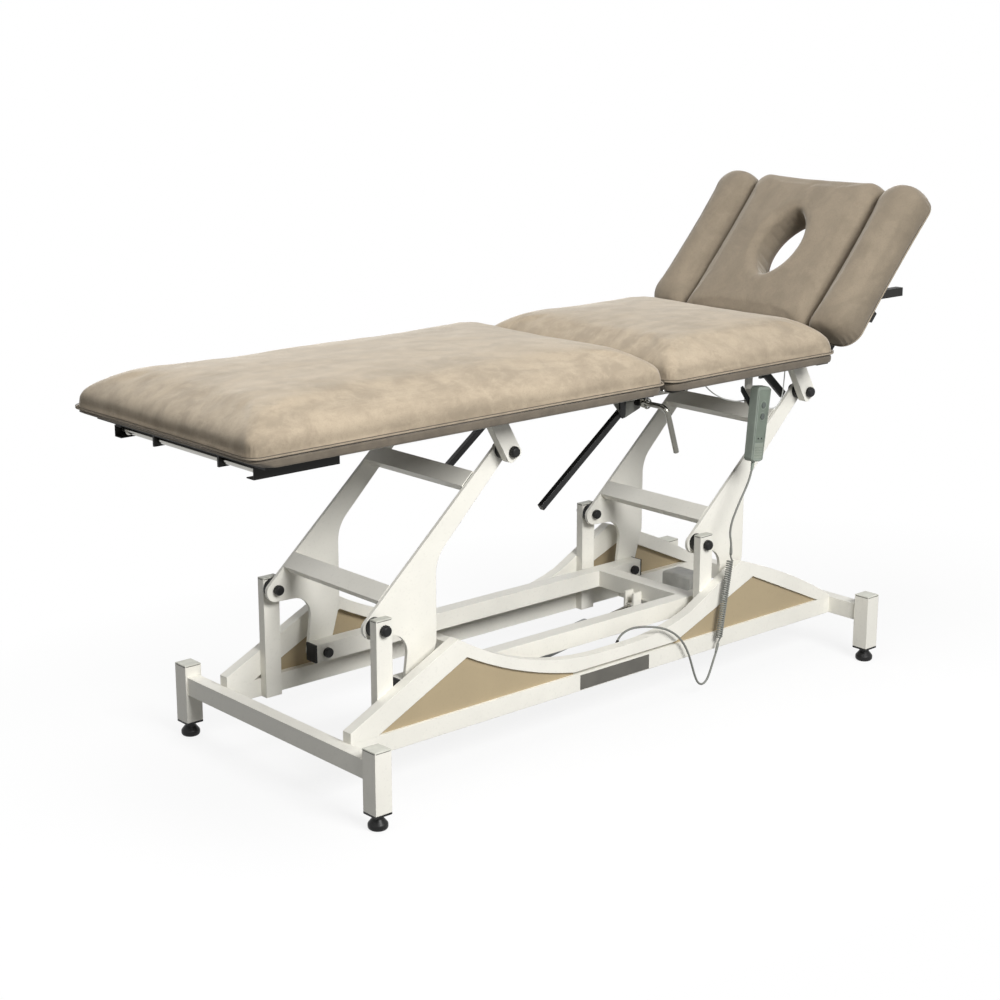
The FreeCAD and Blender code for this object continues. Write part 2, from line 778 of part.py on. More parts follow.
def arm_pair(label, x):
    points, radii = arm_outline()
    holes = [(0, 0), (float(top_dx), float(top_dz)), (float(tail_x), -float(tail_z))]
    plates = []
    for a, b in both(plate_inner, plate_outer):
        blank = plate(points, radii, a, b)
        for hole_x, hole_z in holes:
            radius = float(bolt_radius + run_clearance)
            centre = V(hole_x, float(a) - float(overrun), hole_z)
            blank = blank.cut(Part.makeCylinder(radius, float(plate_thick + overrun * 2), centre, V(0, 1, 0)))
        plates.append(feature(blank))
    stand(group(plates), label + "_plates", x, 0, pivot_z)
    tubes = []
    upper = lug_radius - (lug_radius - arm_end_radius) * HALF
    for station in (arm_tube_low, arm_tube_high):
        tubes.append(tube(station, station + arm_tube_wide, -plate_inner, plate_inner,
                          upper - arm_tube_thick, upper, Y_WAY))
    stand(group(tubes), label + "_tubes", x, 0, pivot_z, arm_angle)


def push_frame():
    foot_x = foot_pivot_x + tail_x
    head_x = head_pivot_x + tail_x
    low = tail_height - push_tall * HALF
    high = tail_height + push_tall * HALF
    bars = []
    plugs = []
    pins = []
    push_outer = push_inner + push_deep
    for a, b in both(push_inner, push_outer):
        bar = tube(foot_x - push_end, head_x + push_end, a, b, low, high, X_WAY)
        holes = [rod_across(bolt_radius + run_clearance, x, tail_height, a - overrun, b + overrun)
                 for x in (foot_x, head_x)]
        bars.append(less(bar, holes))
        plugs.append(box(foot_x - push_end - plug_long, foot_x - push_end, a, b, low, high))
        plugs.append(box(head_x + push_end, head_x + push_end + plug_long, a, b, low, high))
    bars.append(tube(push_cross_x, push_cross_x + push_cross_wide, -push_inner, push_inner, low, high, Y_WAY))
    stand(group(bars), "push_frame_tubes")
    stand(group(plugs), "push_bar_plugs")
    for x in (foot_x, head_x):
        for side in (-1, 1):
            near = push_inner * side
            far = plate_outer * side
            knob_far = (push_inner - knob_long) * side
            spans = sorted([near, far, knob_far], key=float)
            shaft = rod_across(bolt_radius, x, tail_height, spans[0], spans[2])
            knob_span = sorted([near, knob_far], key=float)
            knob = rod_across(knob_radius, x, tail_height, knob_span[0], knob_span[1])
            pins.append(joined([shaft, domed(knob)]))
    stand(group(pins), "tail_pins")
    ears = []
    for a, b in both(eye_width * HALF + gap, eye_width * HALF + gap + wall):
        ear = box(clevis_x - eye_radius, push_cross_x, a, b, clevis_z - eye_radius, low + push_tall * HALF)
        ears.append(ear)
    ear_outer = eye_width * HALF + gap + wall
    pin = rod_across(eye_pin_radius, clevis_x, clevis_z, -ear_outer, ear_outer)
    stand(joined(ears + [pin]), "clevis")


MOTOR_START_SHARE = 1.8


def actuator():
    slant = arctangent(clevis_z - actuator_z, clevis_x - actuator_x)
    rear_eye = rod_across(eye_radius, 0, 0, -eye_width * HALF, eye_width * HALF)
    eye_hole = rod_across(eye_pin_radius + run_clearance, 0, 0, -eye_width, eye_width)
    neck = turned(eye_width * HALF, eye_radius * HALF, eye_radius * MOTOR_START_SHARE + overrun)
    barrel = turned(housing_radius, eye_radius * MOTOR_START_SHARE, housing_length)
    motor = turned(motor_radius, eye_radius * MOTOR_START_SHARE, motor_length)
    bore = turned(housing_bore, motor_length + wall, housing_length + overrun)
    housing = less(joined([rear_eye, neck, barrel, motor]), [bore, eye_hole])
    stand(housing, "actuator_housing", actuator_x, 0, actuator_z, slant)
    front_eye = rod_across(eye_radius, 0, 0, -eye_width * HALF, eye_width * HALF)
    front_hole = rod_across(eye_pin_radius + run_clearance, 0, 0, -eye_width, eye_width)
    shaft = turned(rod_radius, -rod_length, -eye_radius * HALF)
    stand(less(joined([front_eye, shaft]), [front_hole]), "actuator_rod", clevis_x, 0, clevis_z, slant)
    half = cross_member_wide * HALF
    beam_x = actuator_x - eye_radius - gap - cross_member_wide
    beam = tube(beam_x, beam_x + cross_member_wide, -rail_inner, rail_inner, base_low, base_top, Y_WAY)
    ears = []
    for a, b in both(eye_width * HALF + gap, eye_width * HALF + gap + wall):
        ears.append(box(beam_x + cross_member_wide, actuator_x + eye_radius, a, b,
                        actuator_z - eye_radius, actuator_z + half))
    ear_outer = eye_width * HALF + gap + wall
    pin = rod_across(eye_pin_radius, actuator_x, actuator_z, -ear_outer, ear_outer)
    shelf_x = control_x + (control_long - post_wide) * HALF
    shelf = tube(shelf_x, shelf_x + post_wide, -rail_inner, rail_inner, base_low, base_top, Y_WAY)
    stand(group([joined([beam] + ears + [pin]), shelf]), "base_cross_members")
    case = box(control_x, control_x + control_long, -control_half, control_half,
               base_top, base_top + control_tall)
    stand(group([eased(case, wall)]), "control_box")
    socket = box(gland_x - gland_side * HALF, gland_x + gland_side * HALF,
                 -rail_inner, -rail_inner + gland_deep, base_low + half, gland_top)
    stand(group([socket]), "cord_gland")


def turned(radius, x_from, x_to):
    """A round bar along X."""
    obj = doc.addObject("Part::Cylinder", "Bar")
    obj.Placement = FreeCAD.Placement(V(), FreeCAD.Rotation(V(0, 1, 0), 90))
    bind(obj, "Radius", radius)
    bind(obj, "Height", as_size(x_to) - x_from)
    place(obj, as_size(x_from), ZERO, ZERO)
    return obj


HANGER_FOOT_SHARE = 5.0
HANGER_NOSE_SHARES = (2.6, 2.2)


def upper_frame():
    rail_in = rail_inner - frame_rail_wide
    crosses = [tube(frame_foot_x, frame_head_x, a, b, frame_low, frame_top, X_WAY)
               for a, b in both(rail_in, rail_inner)]
    for x in (frame_foot_x, frame_mid_cross, frame_head_cross):
        crosses.append(tube(x, x + frame_cross_wide, -rail_in, rail_in, frame_low, frame_top, Y_WAY))
    channel_inner = channel_outer - channel_wide
    for a, b in both(rail_inner, channel_inner):
        crosses.append(box(frame_foot_x, frame_foot_x + frame_cross_wide, a, b,
                           frame_low, channel_low + channel_tall))
    stand(group(crosses), "upper_frame_tubes")
    channels = []
    for a, b in both(channel_inner, channel_outer):
        outside = box(channel_from, channel_to, a, b, channel_low, channel_low + channel_tall)
        inward = -1 if float(a) > 0 else 1
        mouth_a = a + (-overrun if inward < 0 else channel_wall)
        mouth_b = b - (channel_wall if inward < 0 else -overrun)
        slot = box(channel_from - overrun, channel_to - channel_wall, mouth_a, mouth_b,
                   channel_low + channel_wall, channel_low + channel_tall - channel_wall)
        channels.append(less(outside, [slot]))
    stand(group(channels), "slide_channels")
    brackets = []
    half = bracket_wide * HALF
    run = top_dz + pivot_z
    for x in (foot_pivot_x, head_pivot_x):
        for a, b in both(bracket_inner, bracket_outer):
            centre_x = float(x + top_dx)
            centre_z = float(run)
            lean = float(bracket_lean) * DEGREE
            top_shift = -(float(frame_low) - centre_z) * math.tan(lean)
            half_top = float(half) / math.cos(lean)
            below = float(bracket_below)
            foot = (centre_x + below * math.sin(lean), centre_z - below * math.cos(lean))
            side_x = float(half) * math.cos(lean)
            side_z = float(half) * math.sin(lean)
            points = [
                (centre_x + top_shift - half_top, float(frame_low)),
                (centre_x + top_shift + half_top, float(frame_low)),
                (foot[0] + side_x, foot[1] + side_z), (foot[0] - side_x, foot[1] - side_z),
            ]
            corner = float(half) * HALF
            blank = plate(points, [0, 0, corner, corner], a, b)
            hole = Part.makeCylinder(float(bolt_radius + run_clearance), float(post_deep + overrun * 2),
                                     V(centre_x, float(a) - float(overrun), centre_z), V(0, 1, 0))
            brackets.append(feature(blank.cut(hole)))
    stand(group(brackets), "top_brackets")
    lugs = []
    for a, b in both(rail_in + gap, rail_in + gap + wall):
        points = [(frame_head_x - hinge_tube_radius, frame_low), (hinge_x + hinge_tube_radius, frame_low),
                  (hinge_x + hinge_tube_radius, hinge_z + hinge_tube_radius),
                  (hinge_x - hinge_tube_radius, hinge_z + hinge_tube_radius), (frame_head_x, frame_top)]
        eye_round = hinge_tube_radius * END_ROUND_SHARE
        blank = plate(points, [0, hinge_tube_radius, eye_round, eye_round, 0], a, b)
        rail_corner = V(float(frame_head_x - frame_rail_wide), float(a - gap), float(frame_low))
        rail_wide = float(frame_rail_wide)
        rail_space = Part.makeBox(rail_wide, rail_wide, float(frame_tall), rail_corner)
        lugs.append(feature(blank.cut(rail_space)))
    shaft_end = rest_hinge_y + head_bar_side + shaft_overhang
    shaft = rod_across(hinge_shaft_radius, hinge_x, hinge_z, -shaft_end, shaft_end)
    stand(joined(lugs + [shaft]), "hinge_shaft")
    hangers = []
    for a, b in both(hanger_y, hanger_y + hanger_thick):
        nose_back, nose_down = HANGER_NOSE_SHARES
        points = [(lever_x - hanger_reach * HANGER_FOOT_SHARE, frame_low),
                  (lever_x + hanger_reach, frame_low), (lever_x + hanger_reach, lever_z - hanger_reach),
                  (lever_x - hanger_reach * nose_back, lever_z - hanger_reach * nose_down)]
        blank = plate(points, [0, 0, lever_shaft_radius, lever_shaft_radius * HALF], a, b)
        hole = Part.makeCylinder(float(lever_shaft_radius + run_clearance), float(hanger_thick + overrun * 2),
                                 V(float(lever_x), float(a) - float(overrun), float(lever_z)), V(0, 1, 0))
        hangers.append(feature(blank.cut(hole)))
    thin = head_lever_thick * HALF
    near = head_lever_y + thin + gap
    pivot = rod_across(lever_shaft_radius * HALF, head_lever_x, head_lever_z,
                       head_lever_y - thin, near + wall)
    plate_up = box(head_lever_x - head_hanger_half, head_lever_x + head_hanger_half, near, near + wall,
                   head_lever_z - head_hanger_half, frame_low)
    hangers.append(joined([pivot, plate_up]))
    stand(group(hangers), "lever_hangers")


CORNER_LIMIT_SHARE = 0.45


def bowed_rectangle(length_from, length_to, half_from, half_to, height, corner, bow):
    """A rounded rectangle at a height, with long sides that draw in a little between the corners."""
    x0, x1, y0, y1 = (float(v) for v in (length_from, length_to, half_from, half_to))
    r = min(corner, (x1 - x0) * CORNER_LIMIT_SHARE, (y1 - y0) * CORNER_LIMIT_SHARE)
    k = r * (1 - math.sqrt(HALF))
    mx = (x0 + x1) * HALF
    my = (y0 + y1) * HALF
    h = float(height)
    edges = [
        Part.Arc(V(x0 + r, y0, h), V(mx, y0 + bow, h), V(x1 - r, y0, h)),
        Part.Arc(V(x1 - r, y0, h), V(x1 - k, y0 + k, h), V(x1, y0 + r, h)),
        Part.Arc(V(x1, y0 + r, h), V(x1 - bow, my, h), V(x1, y1 - r, h)),
        Part.Arc(V(x1, y1 - r, h), V(x1 - k, y1 - k, h), V(x1 - r, y1, h)),
        Part.Arc(V(x1 - r, y1, h), V(mx, y1 - bow, h), V(x0 + r, y1, h)),
        Part.Arc(V(x0 + r, y1, h), V(x0 + k, y1 - k, h), V(x0, y1 - r, h)),
        Part.Arc(V(x0, y1 - r, h), V(x0 + bow, my, h), V(x0, y0 + r, h)),
        Part.Arc(V(x0, y0 + r, h), V(x0 + k, y0 + k, h), V(x0 + r, y0, h)),
    ]
    return Part.Wire([edge.toShape() for edge in edges])


# Each row: share of the crown thickness, share of the edge roll and share of the half width that the outline
# is drawn in by
CUSHION_STEP_SHARES = [
    (0.0, 0.08, 0.0), (0.07, 0.01, 0.0), (0.16, 0.0, 0.0), (0.3, 0.0, 0.0), (0.38, 0.04, 0.0),
    (0.46, 0.13, 0.0), (0.54, 0.29, 0.0), (0.62, 0.51, 0.0), (0.69, 0.78, 0.0), (0.755, 1.1, 0.01),
    (0.81, 1.43, 0.03), (0.86, 1.76, 0.07), (0.9, 2.0, 0.14), (0.94, 2.0, 0.3), (0.97, 2.0, 0.48),
    (0.99, 2.0, 0.68), (1.0, 2.0, 0.88),
]


def cushion(x_from, x_to, y_from, y_to, low, thick, corner, roll):
    """A crowned pad: full width low on its sides, rolled in towards the top."""
    rings = []
    draw = float(side_draw)
    half_width = min(float(x_to) - float(x_from), float(y_to) - float(y_from)) * HALF
    for rise_share, roll_share, width_share in CUSHION_STEP_SHARES:
        inset = roll * roll_share + (half_width - roll * 2) * width_share
        rings.append(bowed_rectangle(float(x_from) + inset, float(x_to) - inset, float(y_from) + inset,
                                     float(y_to) - inset, float(low) + float(thick) * rise_share,
                                     float(corner) + inset * HALF, draw))
    return Part.makeLoft(rings, True, True)


PAD_ROLL_SHARE = 0.4
HEAD_ROLL_SHARE = 0.23
NARROW_ROLL_SHARE = 0.12


def boards_and_cushions():
    roll = float(cushion_thick) * PAD_ROLL_SHARE
    leg_end = crease_x - crease_gap * HALF
    mid_start = crease_x + crease_gap * HALF
    for label, x_from, x_to in (("leg_cushion", foot_edge, leg_end), ("mid_cushion", mid_start, mid_edge)):
        pad = cushion(x_from, x_to, -cushion_half, cushion_half, board_top, cushion_thick,
                      cushion_corner, roll)
        stand(feature(pad), label)
    for label, x_from, x_to in (("leg_board", foot_edge + board_inset, leg_end - wall * HALF),
                                ("mid_board", mid_start + wall * HALF, mid_edge - board_inset)):
        board = box(x_from, x_to, -board_half, board_half, board_low, board_top)
        stand(group([cornered(board, board_corner)]), label)
    batten_low = board_low - batten_thick
    knuckle_low = crease_axis_z
    legs = []
    mids = []
    for a, b in both(batten_inner, batten_inner + batten_wide):
        middle = (a + b) * HALF
        legs.append(box(leg_frame_foot, crease_x - knuckle_radius * HALF, a, b, batten_low, board_low))
        mids.append(box(crease_x + knuckle_radius * HALF, hinge_x - hinge_tube_radius * HALF, a, b,
                        batten_low, board_low))
        legs.append(rod_across(knuckle_radius, crease_x, knuckle_low, a, middle - gap))
        mids.append(rod_across(knuckle_radius, crease_x, knuckle_low, middle + gap, b))
        legs.append(box(crease_x - knuckle_radius, crease_x, a, middle - gap, knuckle_low, board_low))
        mids.append(box(crease_x, crease_x + knuckle_radius, middle + gap, b, knuckle_low, board_low))
    leg_cut = []
    mid_cut = []
    for a, b in both(batten_inner, batten_inner + batten_wide):
        middle = (a + b) * HALF
        wide = knuckle_radius + knuckle_clearance
        leg_cut.append(rod_across(wide, crease_x, knuckle_low, middle - gap * HALF, b + overrun))
        mid_cut.append(rod_across(wide, crease_x, knuckle_low, a - overrun, middle + gap * HALF))
        pin_hole = hinge_pin_radius + run_clearance
        leg_cut.append(rod_across(pin_hole, crease_x, knuckle_low, a - overrun, b + overrun))
    batten_half = board_half - batten_end_inset
    for x in (leg_frame_foot, leg_frame_head - batten_wide):
        legs.append(box(x, x + batten_wide, -batten_half, batten_half, batten_low, board_low))
    for x in (mid_frame_foot, mid_frame_head - batten_wide):
        mids.append(box(x, x + batten_wide, -batten_half, batten_half, batten_low, board_low))
    axle_lug = []
    for a, b in both(batten_inner, batten_inner + wall):
        axle_lug.append(box(axle_x - axle_lug_half, axle_x + axle_lug_half, a, b,
                            axle_z - axle_lug_half, board_low))
    axle_hole = rod_across(axle_radius + run_clearance, axle_x, axle_z, -channel_outer, channel_outer)
    stand(less(joined(legs + axle_lug), leg_cut + [axle_hole]), "leg_frame")
    mid_lugs = []
    for a, b in both(batten_inner, batten_inner + batten_wide):
        mid_lugs.append(rod_across(hinge_tube_radius + wall * HALF, hinge_x, hinge_z, a, b))
    shaft_hole = rod_across(hinge_shaft_radius + run_clearance, hinge_x, hinge_z, -cushion_half, cushion_half)
    pins = [rod_across(hinge_pin_radius, crease_x, knuckle_low, a, b)
            for a, b in both(batten_inner, batten_inner + batten_wide)]
    stand(joined([less(joined(mids + mid_lugs), mid_cut + [shaft_hole])] + pins), "mid_frame")
    channel_inner = channel_outer - channel_wide
    roller_in = channel_inner + wall * HALF
    shaft = rod_across(axle_radius, axle_x, axle_z, -roller_in - roller_wide, roller_in + roller_wide)
    rollers = [rod_across(roller_radius, axle_x, axle_z, a, b)
               for a, b in both(roller_in, roller_in + roller_wide)]
    stand(joined([shaft] + rollers), "slide_axle")


def cornered(board, radius):
    """The board with its upright corners rounded."""
    obj = doc.addObject("Part::Fillet", "Cornered")
    obj.Base = board
    doc.recompute()
    upright = [n + 1 for n, edge in enumerate(board.Shape.Edges)
               if abs(edge.tangentAt(edge.FirstParameter).z) > HALF]
    obj.Edges = [(n, float(radius), float(radius)) for n in upright]
    return obj


def tilted(obj, label):
    """Stand a piece of the head section at the hinge, at the section's tilt."""
    return stand(obj, label, hinge_x, 0, hinge_z, head_tilt)


def head_section():
    board_h = head_board_h
    pad_low = board_h + board_thick
    roll = float(head_thick) * HEAD_ROLL_SHARE
    centre = cushion(head_from, head_to, -head_half, head_half, pad_low, head_thick, head_corner, roll)
    tall = float(head_thick + board_thick + overrun)
    opening = oval_prism(hole_half_long, hole_half_wide, -tall, tall)
    tilted(feature(centre.cut(opening)), "head_cushion")
    slab_half = head_half - board_inset * HALF
    slab = box(head_board_from, head_board_to, -slab_half, slab_half, board_h, board_h + board_thick)
    margin = hole_board_margin
    wide_hole = oval_prism(hole_half_long + margin, hole_half_wide + margin, -tall, tall)
    tilted(less(cornered(slab, head_corner), [feature(wide_hole)]), "head_board")
    low = board_h - head_bar_side
    bars = []
    for a, b in both(head_bar_y, head_bar_y + head_bar_side):
        bars.append(box(head_board_from, head_bar_to, a, b, low, board_h))
    reach_y = batten_inner + batten_wide + head_bar_side
    bars.append(box(head_board_from, head_board_from + head_bar_side, -reach_y, reach_y, low, board_h))
    bars.append(box(head_bar_to - head_bar_side, head_bar_to, -reach_y, reach_y, low, board_h))
    for a, b in both(batten_inner + batten_wide + gap, reach_y):
        bars.append(rod_across(hinge_tube_radius + wall * HALF, 0, 0, a, b))
        bars.append(box(ZERO, head_board_from + head_bar_side, a, b, -hinge_tube_radius, board_h))
    hole = rod_across(hinge_shaft_radius + run_clearance, 0, 0, -cushion_half, cushion_half)
    tilted(less(joined(bars), [hole]), "head_frame")


def oval_prism(half_long, half_wide, low, high):
    """The face hole: a pointed oval of two mirrored arcs, rounded at its ends."""
    tip = float(hole_tip_radius)
    long = float(half_long) - tip
    wide = float(half_wide) - tip
    offset = (long * long - wide * wide) / (wide + wide)
    flank = float(half_wide) + offset
    joint_x = flank * long / (flank - tip)
    joint_y = flank * offset / (flank - tip) - offset
    signs = ((1, -1), (1, 1), (-1, 1), (-1, -1))
    joints = [V(float(hole_centre) + joint_x * a, joint_y * b, low) for a, b in signs]
    ends = [V(float(hole_centre) + float(half_long), 0, low), V(float(hole_centre), float(half_wide), low),
            V(float(hole_centre) - float(half_long), 0, low), V(float(hole_centre), -float(half_wide), low)]
    arcs = [Part.Arc(joints[n], ends[n], joints[(n + 1) % len(joints)]).toShape() for n in range(len(joints))]
    return Part.Face(Part.Wire(arcs)).extrude(V(0, 0, high - low))


def arm_rests():
    board_h = head_board_h
    pad_low = board_h + board_thick
    for label, side in (("right_rest", -1), ("left_rest", 1)):
        near = head_half + wing_gap
        y_from, y_to = (near, cushion_half) if side > 0 else (-cushion_half, -near)
        roll = float(cushion_half - near) * NARROW_ROLL_SHARE
        pad = cushion(head_from, head_to, y_from, y_to, pad_low, head_thick, rest_corner, roll)
        tilted(feature(pad), label + "_cushion")
        slab = box(head_board_from, head_board_to, y_from + board_inset * HALF, y_to - board_inset * HALF,
                   board_h, board_h + board_thick)
        tilted(group([cornered(slab, rest_corner - board_inset * HALF)]), label + "_board")
        a, b = sorted([rest_bar_y * side, (rest_bar_y + head_bar_side) * side], key=float)
        c, d = sorted([rest_hinge_y * side, (rest_hinge_y + head_bar_side) * side], key=float)
        low = board_h - head_bar_side
        bar = box(rest_bar_from, rest_bar_to, a, b, low, board_h)
        cross = box(rest_bar_from, rest_bar_from + head_bar_side, min(a, c, key=float), max(b, d, key=float),
                    low, board_h)
        arm = box(-hinge_tube_radius, rest_bar_from + head_bar_side, c, d, low, board_h)
        shank = box(-hinge_tube_radius, hinge_tube_radius, c, d, low, hinge_tube_radius)
        boss = rod_across(hinge_tube_radius + wall * HALF, 0, 0, c, d)
        stub = rest_stub(a, b, low)
        stop = box(rest_stop_at, rest_stop_at + rest_stop_long, a, b, low - rest_stop_deep, board_h)
        hole = rod_across(hinge_shaft_radius + run_clearance, 0, 0, c - overrun, d + overrun)
        tilted(less(joined([bar, cross, arm, shank, boss, stub, stop]), [hole]), label + "_frame")


STUB_SINK_SHARE = 0.15


def rest_stub(a, b, low):
    """The short square tube behind a rest, level when the head section has its tilt."""
    obj = doc.addObject("Part::Box", "Stub")
    bind(obj, "Length", rest_stub_long)
    bind(obj, "Width", b - a)
    bind(obj, "Height", rest_stub_side)
    obj.Placement = FreeCAD.Placement(V(), FreeCAD.Rotation(V(0, 1, 0), 1))
    bind(obj, "Placement.Rotation.Angle", head_tilt * Size(1, "1 deg"))
    place(obj, rest_stub_at, a, low + rest_stub_side * STUB_SINK_SHARE)
    return obj


def crank():
    """The handle of the clamp shaft: a round bar out of its collar, bent down, with a round end."""
    angle = float(handle_angle) * DEGREE
    out_way = V(0, -1, 0)
    arm_way = V(math.sin(angle), 0, -math.cos(angle))
    corner = out_way * float(handle_reach)
    bend = float(handle_bend)
    bend_from = corner - out_way * bend
    bend_to = corner + arm_way * bend
    bend_mid = bend_from + arm_way * bend + (out_way - arm_way).normalize() * bend
    tip = corner + arm_way * float(handle_long)
    runs = [Part.LineSegment(V(), bend_from), Part.Arc(bend_from, bend_mid, bend_to),
            Part.LineSegment(bend_to, tip)]
    bar = swept(Part.Wire([run.toShape() for run in runs]), float(handle_radius))[0]
    collar = Part.makeCylinder(float(collar_radius), float(collar_long), V(), out_way)
    return collar.multiFuse([bar, Part.makeSphere(float(handle_radius), tip)]).removeSplitter()


def levers():
    half = lever_thick * HALF
    bars = []
    for a, b in both(lever_y - half, lever_y + half):
        bars.append(box(-lever_long - lever_tip_long, ZERO, a, b, -lever_wide * HALF, lever_wide * HALF))
    shaft = rod_across(lever_shaft_radius, 0, 0, -shaft_front, lever_y + half + lever_shaft_tail)
    stand(joined(bars + [shaft]), "lever_bars", lever_x, 0, lever_z, lever_angle)
    stand(feature(crank()), "clamp_handle", lever_x, -shaft_front - gap, lever_z)
    thin = head_lever_thick * HALF
    blade = box(ZERO, head_lever_long, -thin, thin, -head_lever_wide * HALF, head_lever_wide * HALF)
    boss = rod_across(head_lever_wide * HALF, 0, 0, -thin, thin)
    hole = rod_across(lever_shaft_radius * HALF + run_clearance, 0, 0, -thin - overrun, thin + overrun)
    stand(less(joined([blade, boss]), [hole]), "head_lever", head_lever_x, head_lever_y, head_lever_z,
          -head_lever_angle)


FRONT_ROUND_SHARE = 0.4


def handset():
    lean = float(handset_lean) * DEGREE
    down = V(-math.sin(lean), 0, -math.cos(lean))
    across = V(math.cos(lean), 0, -math.sin(lean))
    top = V(float(handset_top_x), 0, float(handset_top_z))
    long = float(handset_long)
    wide = float(handset_wide) * HALF
    narrow = float(handset_narrow) * HALF
    corners = [top - across * wide, top + across * wide, top + down * long + across * narrow,
               top + down * long - across * narrow]
    back = float(handset_y)
    front = back - float(handset_deep)
    outline = lying(corners, [float(handset_corner)] * len(corners), front)
    case = Part.Face(outline).extrude(V(0, float(handset_deep), 0))
    soft = [edge for edge in case.Edges
            if all(abs(vertex.Y - front) < float(gap) for vertex in edge.Vertexes)]
    case = case.makeFillet(float(handset_corner) * FRONT_ROUND_SHARE, soft)
    buttons = []
    for n in range(2):
        station = float(button_first) + float(button_pitch) * n
        middle = top + down * station + V(0, front, 0)
        pocket = Part.makeCylinder(float(button_radius + gap), float(button_pocket), middle, V(0, 1, 0))
        case = case.cut(pocket)
        cap_from = middle - V(0, float(button_proud), 0)
        buttons.append(Part.makeCylinder(float(button_radius), float(button_long), cap_from, V(0, 1, 0)))
    stand(feature(case), "handset_case")
    stand(feature(buttons[0]), "raise_button")
    stand(feature(buttons[1]), "lower_button")
    hook_top = frame_low + frame_tall * HALF
    x = handset_top_x
    stem = box(x - hook_wide * HALF, x + hook_wide * HALF, -rail_inner - hook_thick, -rail_inner,
               handset_top_z - handset_wide, hook_top)
    shelf = box(x - hook_wide * HALF, x + hook_wide * HALF, handset_y + gap, -rail_inner,
                handset_top_z - handset_wide, handset_top_z - handset_wide + hook_thick)
    lip_in = handset_y + gap
    lip = box(x - hook_wide * HALF, x + hook_wide * HALF, lip_in, lip_in + hook_thick,
              handset_top_z - handset_wide, handset_top_z - hook_thick)
    stand(joined([stem, shelf, lip]), "handset_hook")


# Routes of the handset cord, chosen by hand from where it hangs
UPPER_ROUTE = [
    (418, -244.5, 534), (414, -244.5, 508), (400, -245, 480), (382, -245, 454), (364, -246, 428),
    (350, -246, 402), (344, -246, 376), (351, -246, 350), (350, -246, 324),
]
LOWER_ROUTE = [
    (315, -246, 118), (308, -247, 98), (298, -247, 76), (290, -246, 54), (280, -246, 36),
    (266, -245, 28), (251, -245, 36), (240, -245, 56), (231, -245, 80), (221, -245, 106),
    (207, -245, 134), (186, -245, 160), (160, -245, 180), (132, -243, 194), (106, -236, 201),
    (82, -222, 203), (62, -206, 198), (48, -194, 184), (40, -190, 167), (38, -190, 151),
]


COIL_ENDS = [UPPER_ROUTE[-1], LOWER_ROUTE[0]]
# The coil's first and last turn stand this many wire diameters away from its ends, and the ends run straight
LEAD_SHARE = 3.2
STRAIGHT_SHARE = 1.05
# Each arc of a cord takes up this share of the shorter of its two runs
ARC_REACH_SHARE = 0.45
QUARTERS = 4


def cord_wire(route):
    """Straight runs joined by tangent arcs, each as large as its two runs allow."""
    points = [V(*point) for point in route]
    runs = [points[n + 1] - points[n] for n in range(len(points) - 1)]
    edges = []
    radii = []
    start = points[0]
    for n in range(1, len(points) - 1):
        before = runs[n - 1]
        after = runs[n]
        turn = before.getAngle(after)
        shorter = min(before.Length, after.Length)
        reach = shorter * ARC_REACH_SHARE
        radius = reach / math.tan(turn * HALF)
        radii.append(radius)
        first = points[n] - V(before).normalize() * reach
        last = points[n] + V(after).normalize() * reach
        bisector = (V(after).normalize() - V(before).normalize()).normalize()
        mid = points[n] + bisector * (radius / math.cos(turn * HALF) - radius)
        edges.append(Part.LineSegment(start, first).toShape())
        edges.append(Part.Arc(first, mid, last).toShape())
        start = last
    edges.append(Part.LineSegment(start, points[-1]).toShape())
    return Part.Wire(edges), radii


def swept(wire, radius):
    """A round tube along a path, and its volume against section times length."""
    start = wire.OrderedVertexes[0].Point
    way = wire.OrderedEdges[0].tangentAt(wire.OrderedEdges[0].FirstParameter)
    if wire.OrderedEdges[0].valueAt(wire.OrderedEdges[0].FirstParameter).distanceToPoint(start) > radius:
        way = wire.OrderedEdges[0].tangentAt(wire.OrderedEdges[0].LastParameter) * -1
    ring = Part.Wire([Part.makeCircle(radius, start, way)])
    solid = wire.makePipeShell([ring], True, False)
    share = solid.Volume / (math.pi * radius * radius * wire.Length)
    return solid, share


def biarc(start, start_way, end, end_way):
    """Two arcs that leave one point along its tangent and reach the next along its own."""
    chord = end - start
    total = start_way + end_way
    spread = 2 * (1 - start_way.dot(end_way))
    along = chord.dot(total)
    reach = (math.sqrt(along ** 2 + spread * chord.dot(chord)) - along) / spread
    first = start + start_way * reach
    last = end - end_way * reach
    joint = (first + last) * HALF
    return [bulge(start, first, joint), bulge(joint, last, end)]


def bulge(start, corner, end):
    middle = (start + end) * HALF
    half_chord = (end - start).Length * HALF
    to_corner = corner - middle
    lean = math.atan2(to_corner.Length, half_chord)
    top = middle + to_corner.normalize() * (half_chord * math.tan(lean * HALF))
    return Part.Arc(start, top, end).toShape()


